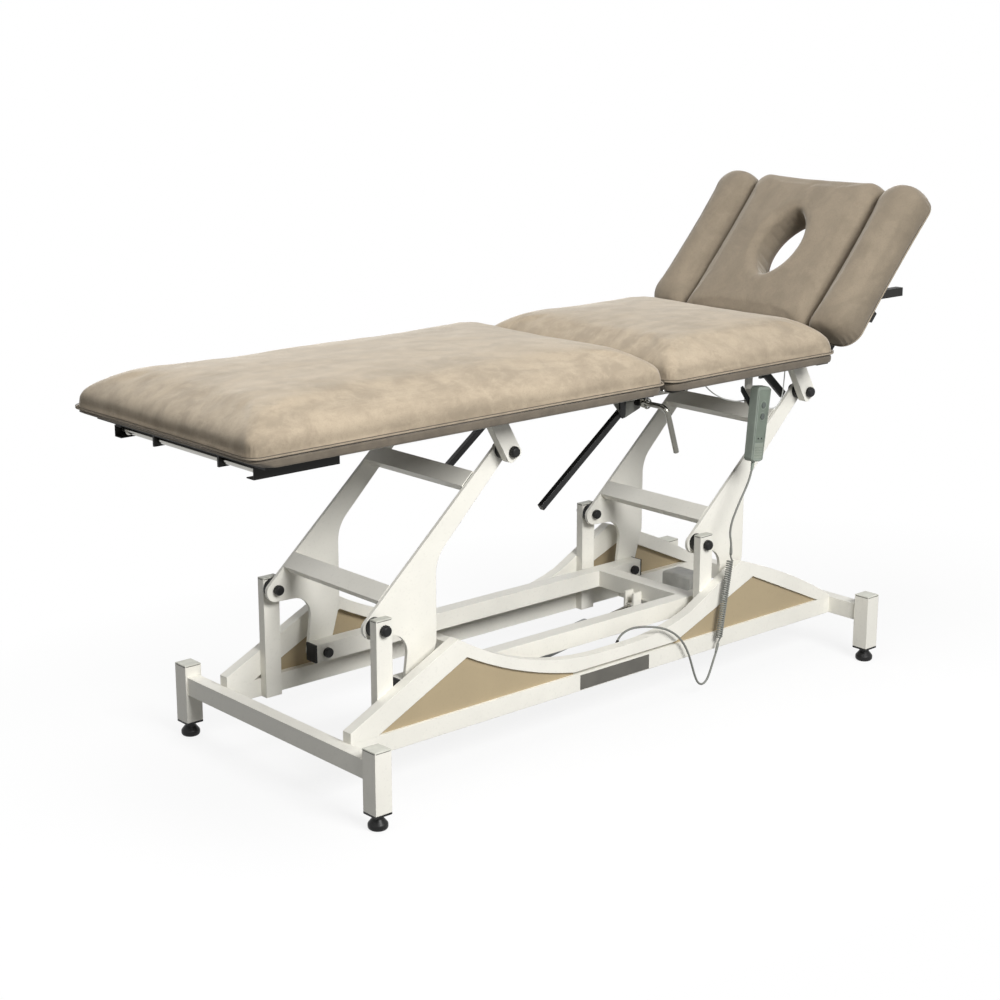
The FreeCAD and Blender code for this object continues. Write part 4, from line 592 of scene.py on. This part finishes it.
def hole_outline():
    """The outline of the face hole: two mirrored arcs with rounded ends."""
    long, offset = hole_arc()
    lean = math.atan2(offset, long)
    arcs = [(long, 0.0, HOLE_TIP, -lean, lean),
            (0.0, -offset, HOLE_WIDE + offset, lean, math.pi - lean),
            (-long, 0.0, HOLE_TIP, math.pi - lean, math.pi + lean),
            (0.0, offset, HOLE_WIDE + offset, math.pi + lean, 2 * math.pi - lean)]
    points = []
    for cx, cy, radius, first, last in arcs:
        for n in range(HOLE_STEPS):
            turn = first + (last - first) * n / HOLE_STEPS
            points.append((cx + radius * math.cos(turn), cy + radius * math.sin(turn)))
    return points


def from_hole(x, y):
    """How far a point lies outside the outline of the face hole."""
    long, offset = hole_arc()
    x, y = abs(x), abs(y)
    if math.atan2(y, x - long) < math.atan2(offset, long) and x > long:
        return math.hypot(x - long, y) - HOLE_TIP
    return math.hypot(x, y + offset) - (HOLE_WIDE + offset)


def apply_modifiers(obj):
    bpy.context.view_layer.update()
    made = bpy.data.meshes.new_from_object(obj.evaluated_get(bpy.context.evaluated_depsgraph_get()))
    made.name = obj.data.name
    obj.modifiers.clear()
    obj.data = made


def cut_hole(obj, low, high):
    """The pointed oval face hole through the head pad."""
    rings = [[(HOLE_X * MM + x * MM, y * MM, z) for x, y in hole_outline()] for z in (low, high)]
    tool = bpy.data.objects.new("hole_tool", skin("hole_tool", rings))
    SCENE.collection.objects.link(tool)
    cut = obj.modifiers.new("hole", "BOOLEAN")
    cut.object = tool
    cut.operation = "DIFFERENCE"
    cut.solver = "EXACT"
    apply_modifiers(obj)
    bpy.data.objects.remove(tool)


def round_rim(obj):
    """Let the cover roll over into the face hole."""
    for vertex in obj.data.vertices:
        away = max(0.0, from_hole(vertex.co.x / MM - HOLE_X, vertex.co.y / MM))
        if away < RIM_RADIUS and vertex.co.z > UPPER_HALF:
            drop = math.sqrt(RIM_RADIUS * RIM_RADIUS - (RIM_RADIUS - away) ** 2)
            vertex.co.z = min(vertex.co.z, (RIM_LEVEL - RIM_RADIUS + drop) * MM)


def remesh(obj, size):
    modifier = obj.modifiers.new("grid", "REMESH")
    modifier.mode = "VOXEL"
    modifier.voxel_size = size
    apply_modifiers(obj)


def soften(obj):
    modifier = obj.modifiers.new("soften", "SMOOTH")
    modifier.iterations = 2
    modifier.factor = 0.5
    apply_modifiers(obj)


def subdivide(obj):
    modifier = obj.modifiers.new("finer", "SUBSURF")
    modifier.levels = 1
    apply_modifiers(obj)


def fill_out(obj, low, cap):
    """Swell the pad with a cloth simulation that holds its underside, no point further than the cap."""
    group = obj.vertex_groups.new(name="held")
    held = [v.index for v in obj.data.vertices if v.co.z < low + HELD]
    group.add(held, 1.0, "REPLACE")
    start = [v.co.copy() for v in obj.data.vertices]
    cloth = obj.modifiers.new("cloth", "CLOTH")
    settings = cloth.settings
    settings.vertex_group_mass = "held"
    settings.quality = 4
    settings.mass = 0.4
    settings.tension_stiffness = CLOTH_STIFFNESS
    settings.compression_stiffness = CLOTH_STIFFNESS
    settings.shear_stiffness = 5.0
    settings.bending_stiffness = 0.6
    settings.use_pressure = True
    settings.uniform_pressure_force = CLOTH_PRESSURE
    settings.effector_weights.gravity = 0.0
    cloth.collision_settings.use_collision = False
    cloth.point_cache.frame_start = 1
    cloth.point_cache.frame_end = CLOTH_FRAMES
    for step in range(1, CLOTH_FRAMES + 1):
        SCENE.frame_set(step)
    swollen = obj.evaluated_get(bpy.context.evaluated_depsgraph_get()).data
    ends = [v.co.copy() for v in swollen.vertices]
    obj.modifiers.clear()
    for vertex, first, last in zip(obj.data.vertices, start, ends):
        move = last - first
        if move.length > cap:
            move *= cap / move.length
        vertex.co = first + move
    obj.vertex_groups.clear()
    SCENE.frame_set(1)


def tucked(obj, rect, corner, low, thick, seed):
    """Gathers round the lower corners and the slight unevenness of a hand-covered pad."""
    for vertex in obj.data.vertices:
        x, y, z = (c / MM for c in vertex.co)
        spot = Vector((x, y, seed))
        rise = (z - low) / thick
        cx = min(max(x, rect[0] + corner), rect[1] - corner)
        cy = min(max(y, rect[2] + corner), rect[3] - corner)
        dx, dy = x - cx, y - cy
        away = math.hypot(dx, dy)
        if dx and dy and away > corner * GATHER_START and rise < GATHER_MIDDLE + GATHER_REACH:
            turn = math.atan2(abs(dy), abs(dx))
            fade = math.sin(2 * turn) * max(0.0, 1 - abs(rise - GATHER_MIDDLE) / GATHER_REACH)
            wander = 2 * noise.noise(spot * GATHER_WANDER)
            pull = math.cos(turn * GATHERS + wander) * GATHER_DEPTH * fade
            vertex.co.x += dx / away * pull * MM
            vertex.co.y += dy / away * pull * MM
        top = min(1.0, max(0.0, (rise - TOP_START) / TOP_BLEND))
        sway = noise.noise(spot * BROAD_WAVES) * BROAD_HEIGHT + noise.noise(spot * FINE_WAVES) * FINE_HEIGHT
        vertex.co.z += (sway - SUNKEN) * top * MM


def settle(obj, tilted):
    """Move a piece that was made in its pad's own place to the couch, tilted with the head end if asked."""
    if tilted:
        hinge = Matrix.Translation(at(HINGE_X, 0, HINGE_Z))
        obj.data.transform(hinge @ Matrix.Rotation(-HEAD_TILT, 4, "Y"))
    else:
        obj.data.transform(Matrix.Translation((SHIFT, 0, 0)))


def ring_tube(points, radius, sides):
    """Rings of points for a round bead along a closed line that lies about level."""
    rings = []
    count = len(points)
    up = Vector((0, 0, 1))
    for n, point in enumerate(points):
        way = (Vector(points[(n + 1) % count]) - Vector(points[n - 1])).normalized()
        out = way.cross(up).normalized()
        rings.append([Vector(point) + out * (radius * math.cos(t)) + up * (radius * math.sin(t))
                      for t in circle_turns(sides)])
    return rings


def bead(name, rect, corners, inset, height, radius, sides, material, body, tilted):
    """A closed round bead that goes with a pad."""
    line = [(x, y, height) for x, y in rounded_ring(rect, corners, PIPING_DRAW, inset)]
    obj = piece(name, ring_tube(line, radius, sides), material, body, closed=True)
    obj.data.transform(Matrix.Scale(MM, 4))
    settle(obj, tilted)


def piping(name, kind, body, rect, corners):
    """The piping round the lower edge of a pad and, above it, a thin dark line of painted shade for the crease
    between the pad and the piping.
    """
    inset, height, tilted = kind["piping_inset"], kind["piping"], kind["tilted"]
    bead(name + "_piping", rect, corners, inset, height, PIPING_RADIUS, 8, "welt", body, tilted)
    bead(name + "_crease_shade", rect, corners, inset - CREASE_SHADE_OUT, height + CREASE_SHADE_RISE, CREASE_SHADE_RADIUS, 6, "crease_shade", body,
         tilted)


def wrapped_board(name, body, rect, corners, bevelled):
    """The board under a level pad with its cloth drawn round the edge, bevelled at the foot end if asked."""
    rings = []
    for height, side, foot in BOARD_ROWS:
        low_end = foot if bevelled else side + JOINT_GAP
        high_end = side + (JOINT_GAP if bevelled else 0.0)
        row = (rect[0] + low_end, rect[1] - high_end, rect[2] + side, rect[3] - side)
        rings.append([(x, y, BOARD_LOW + height) for x, y in rounded_ring(row, corners)])
    obj = piece(name + "_board_wrapped", rings, "wrap", body, smooth=False)
    obj.data.transform(Matrix.Scale(MM, 4))
    settle(obj, False)
    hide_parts(name + "_board")


def pad(name, kind, body, rect, corners, roll, seed, hole):
    low, thick, tilted = kind["low"], kind["thick"], kind["tilted"]
    mesh = pad_mesh(name + "_pad", rect, low, thick, corners, roll)
    mesh.transform(Matrix.Scale(MM, 4))
    obj = bpy.data.objects.new(name + "_pad", mesh)
    SCENE.collection.objects.link(obj)
    if hole:
        cut_hole(obj, (low - HOLE_BELOW) * MM, (low + thick + HOLE_ABOVE) * MM)
    remesh(obj, kind["voxel"])
    if hole:
        round_rim(obj)
    soften(obj)
    fill_out(obj, low * MM, kind["cap"])
    soften(obj)
    subdivide(obj)
    tucked(obj, rect, max(corners), low, thick, seed)
    settle(obj, tilted)
    obj.data.materials.clear()
    # The tilted head pads take the darker suede copy, which paints their shade.
    obj.data.materials.append(MATERIALS["shaded_head_upholstery" if tilted else "upholstery"])
    smooth_faces(obj.data)
    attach(obj, body)
    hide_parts(name + "_cushion")


def upholstery():
    for name, kind, body, rect, edge, corners, roll, seed in PADS:
        pad(name, kind, body, rect, corners, roll, seed, hole=name == "head")
        piping(name, kind, body, edge, corners)
        if kind is LEVEL:
            wrapped_board(name, body, edge, corners, bevelled=name == "leg")


upholstery()


# ---- Fittings

# The clamp handle: its shaft's place, how far the bar leans, its bend, and radii along the bar below the bend
CRANK_X, CRANK_Z = 86, 711
CRANK_LEAN = math.radians(18)
CRANK_CORNER_Y = -284.2
CRANK_BEND = 17 * MM
BEND_STEPS = 8
CRANK_SHAFT = [(-212.4, 9.6), (-213.4, 10.4), (-222, 10.4), (-222.5, 5.8), (-240, 5.8)]
CRANK_BAR = [(40, 6.2), (80, 6.2), (107.6, 6.2), (108.8, 5.6), (109.2, 4.4)]
# The open ring behind it
RING_Y, RING_RADIUS, RING_STEPS = -227, 10.5, 24

# The front of the handset: the middle of its top edge, its lean, and the Y of its face
HANDSET_X, HANDSET_Z = 438.0, 706.0
HANDSET_LEAN = math.radians(6.6)
HANDSET_FACE = -256.5
KEYS = (42.0, 68.0)
INDICATORS = (-5.5, 5.5)
LABEL_LINES = (139, 145, 151, 157)
# How far plates and frames are sunk into the face, a plate's bevel, and how much of its height is below it
SUNK = 0.3
PLATE_BEVEL = 0.5
PLATE_UPRIGHT = 0.7

# Where the strap behind the handset starts and ends, and the Y of its two faces
STRAP_START, STRAP_END = (392, 700), (463, 608)
STRAP_FACES = (-228.4, -230.6)
LOOP_RADIUS = 1.3 * MM
LOOPS = {
    "cable_loop_left": [(296, -196, 724), (304, -200, 712), (335, -203, 690), (376, -206, 674),
                        (412, -210, 669), (432, -222, 674), (438, -226, 684)],
    "cable_loop_right": [(446, -226, 646), (470, -212, 637), (509, -204, 636), (541, -200, 634),
                         (561, -198, 645), (572, -197, 672), (576, -196, 722)],
}

# Knobs of the pivots: x, z and body. Rows of their grip: y, radius and depth of the ribs
KNOBS = [(-627.0, 346.0, "base"), (312.0, 346.0, "base"), (-284.5, 658.0, "upper_frame"),
         (654.5, 658.0, "upper_frame")]
GRIP_ROWS = [(205.5, 10.9, 0.0), (206.2, 11.6, 0.45), (213.2, 11.6, 0.45), (214.2, 10.8, 0.0)]
GRIP_RIBS = 14
GRIP_STEPS = 84

# Tube ends with a cap: x and y, half sizes along them, and the height of the joint. Rows of the dark joint:
# height and how far it stands out
CAPPED = [(sx * 749.0, sy * 332.0, 20.0, 20.0, 164.0) for sx in (-1, 1) for sy in (-1, 1)]
CAPPED += [(x, sy * 194.5, 20.0, 10.0, 366.0) for x in (-627.0, 312.0) for sy in (-1, 1)]
CAP_CORNER = 3.0
GAP_ROWS = [(-0.9, 0.25), (0.3, 0.25), (0.3, -1.0), (-0.9, -1.0)]


def crank():
    """The bent round bar of the clamp handle, with its collar and the open ring behind it."""
    out = Vector((0, -1, 0))
    down = Vector((math.sin(CRANK_LEAN), 0, -math.cos(CRANK_LEAN)))
    corner = at(CRANK_X, CRANK_CORNER_Y, CRANK_Z)
    centre = corner - out * CRANK_BEND + down * CRANK_BEND
    path = [at(CRANK_X, y, CRANK_Z) for y, radius in CRANK_SHAFT]
    radii = [radius for y, radius in CRANK_SHAFT]
    for k in range(BEND_STEPS + 1):
        turn = math.pi / 2 * k / BEND_STEPS
        path.append(centre - down * (CRANK_BEND * math.cos(turn)) + out * (CRANK_BEND * math.sin(turn)))
        radii.append(6.0)
    for reach, radius in CRANK_BAR:
        path.append(corner + down * (reach * MM))
        radii.append(radius)
    obj = piece("crank_handle", sweep(path, radii, 24), "crank_steel", "clamp_handle")
    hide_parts("clamp_handle")
    turns = [math.radians(200 + 300 * k / RING_STEPS) for k in range(RING_STEPS + 1)]
    ring = [at(CRANK_X + RING_RADIUS * math.cos(t), RING_Y, CRANK_Z + RING_RADIUS * math.sin(t))
            for t in turns]
    radii = [1.0] + [1.9] * (RING_STEPS - 1) + [1.0]
    piece("crank_ring", sweep(ring, radii, 10), "crank_steel", "clamp_handle")


def on_handset(station, across, proud):
    """A point on the front of the handset: down from its top, to the right, and out of its face."""
    x = HANDSET_X - station * math.sin(HANDSET_LEAN) + across * math.cos(HANDSET_LEAN)
    z = HANDSET_Z - station * math.cos(HANDSET_LEAN) - across * math.sin(HANDSET_LEAN)
    return at(x, HANDSET_FACE - proud, z)


def face_ring(outline, proud):
    """A rounded outline on the face of the handset, as wide at its lower end as it says there.

    The outline is its top and lower end, half its width at each of them, and its corner radius.
    """
    top, low, half_top, half_low, corner = outline
    points = rounded_ring((top, low, -half_top, half_top), (corner,) * 4, steps=4)
    shaped = []
    for station, across in points:
        share = (station - top) / (low - top)
        shaped.append(on_handset(station, across * (1 + (half_low / half_top - 1) * share), proud))
    return shaped


def plate_on_handset(name, outline, proud, material):
    top, low, half_top, half_low, corner = outline
    rim = (top + PLATE_BEVEL, low - PLATE_BEVEL, half_top - PLATE_BEVEL, half_low - PLATE_BEVEL, corner)
    rings = [face_ring(outline, -SUNK), face_ring(outline, proud * PLATE_UPRIGHT), face_ring(rim, proud)]
    piece(name, rings, material, "handset", smooth=False)


def frame_on_handset(name, outline, wide, proud, material):
    top, low, half_top, half_low, corner = outline
    inner = (top + wide, low - wide, half_top - wide, half_low - wide, max(1.0, corner - wide))
    rings = [face_ring(outline, -SUNK), face_ring(outline, proud), face_ring(inner, proud),
             face_ring(inner, -SUNK)]
    piece(name, rings, material, "handset", smooth=False, closed=True)


def handset_front():
    """The rim, labels, key surrounds, indicators and plain lines on the front of the handset."""
    frame_on_handset("handset_rim", (3.0, 170.0, 20.2, 16.8, 5.0), 2.0, 1.3, "handset_grey")
    plate_on_handset("handset_label", (7.0, 128.0, 17.0, 14.8, 3.0), 0.5, "label")
    plate_on_handset("handset_label_low", (131.0, 165.0, 14.6, 14.0, 2.5), 0.5, "label_low")
    for n, station in enumerate(KEYS):
        outline = (station - 10, station + 10, 9.6, 9.6, 8.5)
        frame_on_handset("key_surround_%d" % (n + 1), outline, 1.0, 1.0, "handset_grey")
    for n, across in enumerate(INDICATORS):
        points = [on_handset(119, across, height) for height in (0.2, 0.9, 1.3)]
        rings = sweep(points, [2.0, 2.0, 1.2], 12)
        piece("indicator_%d" % (n + 1), rings, "gloss_black", "handset")
    for n, station in enumerate(LABEL_LINES):
        outline = (station, station + 2.4, 11.6, 11.2, 0.8)
        frame_on_handset("label_line_%d" % (n + 1), outline, 0.5, 0.8, "label")


def handset_holder():
    """The dark strap behind the handset and the two thin cables that loop behind it."""
    way = Vector((STRAP_END[0] - STRAP_START[0], 0, STRAP_END[1] - STRAP_START[1])).normalized()
    up = Vector((-way.z, 0, way.x))
    rings = []
    for y in STRAP_FACES:
        start = Vector((STRAP_START[0], y, STRAP_START[1]))
        end = Vector((STRAP_END[0], y, STRAP_END[1]))
        outline = [start - way * 8 + up * 6, end + way * 10 + up * 6, end + way * 12, end + way * 4 - up * 7,
                   start - way * 2 - up * 6, start - way * 10]
        rings.append([at(*point) for point in outline])
    piece("handset_strap", rings, "gloss_black", "upper_frame", smooth=False)
    for name, points in LOOPS.items():
        obj = spline_object(name, [at(*p) for p in points], LOOP_RADIUS, "loop_cable")
        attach(obj, "upper_frame")


def square_ring(x, y, half_x, half_y, z):
    rect = (x - half_x, x + half_x, y - half_y, y + half_y)
    return [at(px, py, z) for px, py in rounded_ring(rect, (CAP_CORNER,) * 4, steps=3)]


def cap_gaps():
    """The dark joint between each tube and the cap pressed into its end, at the corner legs and the posts."""
    for n, (x, y, half_x, half_y, z) in enumerate(CAPPED):
        rings = [square_ring(x, y, half_x + proud, half_y + proud, z + height) for height, proud in GAP_ROWS]
        piece("cap_gap_%d" % (n + 1), rings, "gap_dark", "base", smooth=False, closed=True)


def grip_rings():
    """The ribbed rings round the knobs of the pivots."""
    for n, (x, z, body) in enumerate(KNOBS):
        for side, hand in ((-1, "right"), (1, "left")):
            rings = []
            for y, radius, depth in GRIP_ROWS:
                ring = []
                for t in circle_turns(GRIP_STEPS):
                    reach = radius + depth * math.cos(GRIP_RIBS * t)
                    ring.append(at(x + reach * math.cos(t), y * side, z + reach * math.sin(t)))
                rings.append(ring)
            name = "knob_grip_%d_%s" % (n + 1, hand)
            piece(name, rings, "black_plastic", body, smooth=False)


def sleeve(name, route, from_end, radii, body, material):
    """A tapered sleeve along the first points of a cord, read from the cord's own smooth line."""
    points = points_on_route(route)
    if from_end:
        points = points[::-1]
    path, gone = [points[0]], 0.0
    for first, second in zip(points, points[1:]):
        gone += (second - first).length
        if gone > SLEEVE_LENGTH:
            break
        path.append(second)
    picked = []
    for k in range(len(radii)):
        share = k / (len(radii) - 1) * (len(path) - 1)
        low = min(int(share), len(path) - 2)
        picked.append(path[low].lerp(path[low + 1], share - low))
    piece(name, sweep(picked, radii, 16), material, body)


def strain_reliefs():
    sleeve("handset_strain_relief", UPPER_ROUTE, False, RIBBED, "handset", "handset_grey")
    sleeve("gland_strain_relief", LOWER_ROUTE, True, RIBBED, "base", "black_plastic")
    sleeve("coil_top_sleeve", UPPER_ROUTE, True, PLAIN, "base", "cord")
    sleeve("coil_foot_sleeve", LOWER_ROUTE, False, PLAIN, "base", "cord")


def small_parts():
    """The tab below the lever's hanger and the screw in the board's edge."""
    outline = [(-9, 14), (9, 14), (8, -6), (8, -16), (6, -21), (0, -24), (-6, -21), (-8, -16), (-8, -6)]
    rings = [[at(42 + x, y, 703 + z) for x, z in outline] for y in (-193.2, -196.8)]
    piece("lever_tab", rings, "gloss_black", "upper_frame", smooth=False)
    points = [at(46, y, 757) for y in (-312.1, -313.4, -314.2, -314.6)]
    rings = sweep(points, [3.4, 3.4, 2.6, 1.2], 16)
    piece("board_screw", rings, "bright_steel", "leg_section")


crank()
handset_front()
handset_holder()
cap_gaps()
grip_rings()
strain_reliefs()
small_parts()


# ---- Studio, in metres

CAMERA_PLACE = Vector((-2.8916 + SHIFT, -3.1132, 1.5723))
CAMERA_YAW = 0.84685
CAMERA_PITCH = 0.25479
CAMERA_LENS = 70.16
FLOOR_REACH = 40.0
# Name, place, point aimed at, size and power of each lamp, and the strength of the world's light
LAMPS = [
    ("key", (-0.5, -3.4, 2.75), (0, 0, 0.45), (1.8, 1.4), 178),
    ("top", (-0.6, 0.2, 3.9), (0, 0, 0.7), (2.6, 1.6), 76),
    ("fill", (-4.2, -0.8, 1.8), (0, 0, 0.5), (2.0, 2.0), 9),
]
WORLD_LIGHT = 0.2
# The floor as seen is white light, with this share of matt surface near the couch that keeps its shadow. The
# share fades out between two distances from the middle, measured with X and Y scaled.
SHADOW_SHARE = 0.14
SHADOW_NEAR, SHADOW_FAR = 0.7, 1.5
SHADOW_SCALE = (0.75, 1.2, 0)


def camera():
    data = bpy.data.cameras.new("camera")
    data.lens = CAMERA_LENS
    data.sensor_width = 36.0
    obj = bpy.data.objects.new("camera", data)
    SCENE.collection.objects.link(obj)
    level = math.cos(CAMERA_PITCH)
    way = Vector((math.cos(CAMERA_YAW) * level, math.sin(CAMERA_YAW) * level, -math.sin(CAMERA_PITCH)))
    obj.location = CAMERA_PLACE
    obj.rotation_euler = way.to_track_quat("-Z", "Y").to_euler()
    SCENE.camera = obj


def seen_rays(tree):
    """One for the rays that show the background itself: to the camera, in a reflection or through glass."""
    ray = node(tree, "ShaderNodeLightPath")
    made = ray.outputs["Is Camera Ray"]
    for name in ("Is Glossy Ray", "Is Transmission Ray"):
        either = node(tree, "ShaderNodeMath", operation="MAXIMUM")
        tree.links.new(made, either.inputs[0])
        tree.links.new(ray.outputs[name], either.inputs[1])
        made = either.outputs[0]
    return made


def blend(tree, share, first, second):
    made = node(tree, "ShaderNodeMixShader")
    tree.links.new(share, made.inputs["Fac"])
    tree.links.new(first, made.inputs[1])
    tree.links.new(second, made.inputs[2])
    return made.outputs[0]


def floor():
    """A pale floor that is seen as white and keeps a faint shadow round the couch."""
    mesh = bpy.data.meshes.new("studio_floor")
    corners = [(-1, -1), (1, -1), (1, 1), (-1, 1)]
    mesh.from_pydata([(x * FLOOR_REACH, y * FLOOR_REACH, 0) for x, y in corners], [], [(0, 1, 2, 3)])
    obj = bpy.data.objects.new("studio_floor", mesh)
    SCENE.collection.objects.link(obj)
    mat, tree, shader = new_material("pale_floor", (0.2, 0.2, 0.195), roughness=0.9)
    shader.inputs["Specular IOR Level"].default_value = 0.0
    glow = node(tree, "ShaderNodeEmission")
    matt = node(tree, "ShaderNodeBsdfDiffuse")
    matt.inputs["Color"].default_value = (0.9, 0.9, 0.9, 1)
    away = node(tree, "ShaderNodeVectorMath", operation="LENGTH")
    tree.links.new(coordinates(tree, SHADOW_SCALE), away.inputs[0])
    share = to_range(tree, away.outputs["Value"], SHADOW_SHARE, 0.0, start=SHADOW_NEAR, end=SHADOW_FAR)
    white = blend(tree, share, glow.outputs[0], matt.outputs[0])
    surface = blend(tree, seen_rays(tree), shader.outputs[0], white)
    tree.links.new(surface, tree.nodes["Material Output"].inputs["Surface"])
    mesh.materials.append(mat)


def world():
    made = bpy.data.worlds.new("studio")
    made.use_nodes = True
    SCENE.world = made
    tree = made.node_tree
    back = tree.nodes["Background"]
    back.inputs["Color"].default_value = (1, 1, 1, 1)
    back.inputs["Strength"].default_value = WORLD_LIGHT
    seen = node(tree, "ShaderNodeBackground")
    seen.inputs["Color"].default_value = (1, 1, 1, 1)
    surface = blend(tree, seen_rays(tree), back.outputs[0], seen.outputs[0])
    tree.links.new(surface, tree.nodes["World Output"].inputs["Surface"])


def area_light(name, place, aim, size, power):
    data = bpy.data.lights.new(name, "AREA")
    data.shape = "RECTANGLE"
    data.size, data.size_y = size
    data.energy = power
    obj = bpy.data.objects.new(name, data)
    SCENE.collection.objects.link(obj)
    obj.location = place
    obj.rotation_euler = (Vector(aim) - Vector(place)).to_track_quat("-Z", "Y").to_euler()


def studio():
    camera()
    floor()
    world()
    for lamp in LAMPS:
        area_light(*lamp)
    SCENE.view_settings.view_transform = "Standard"


studio()
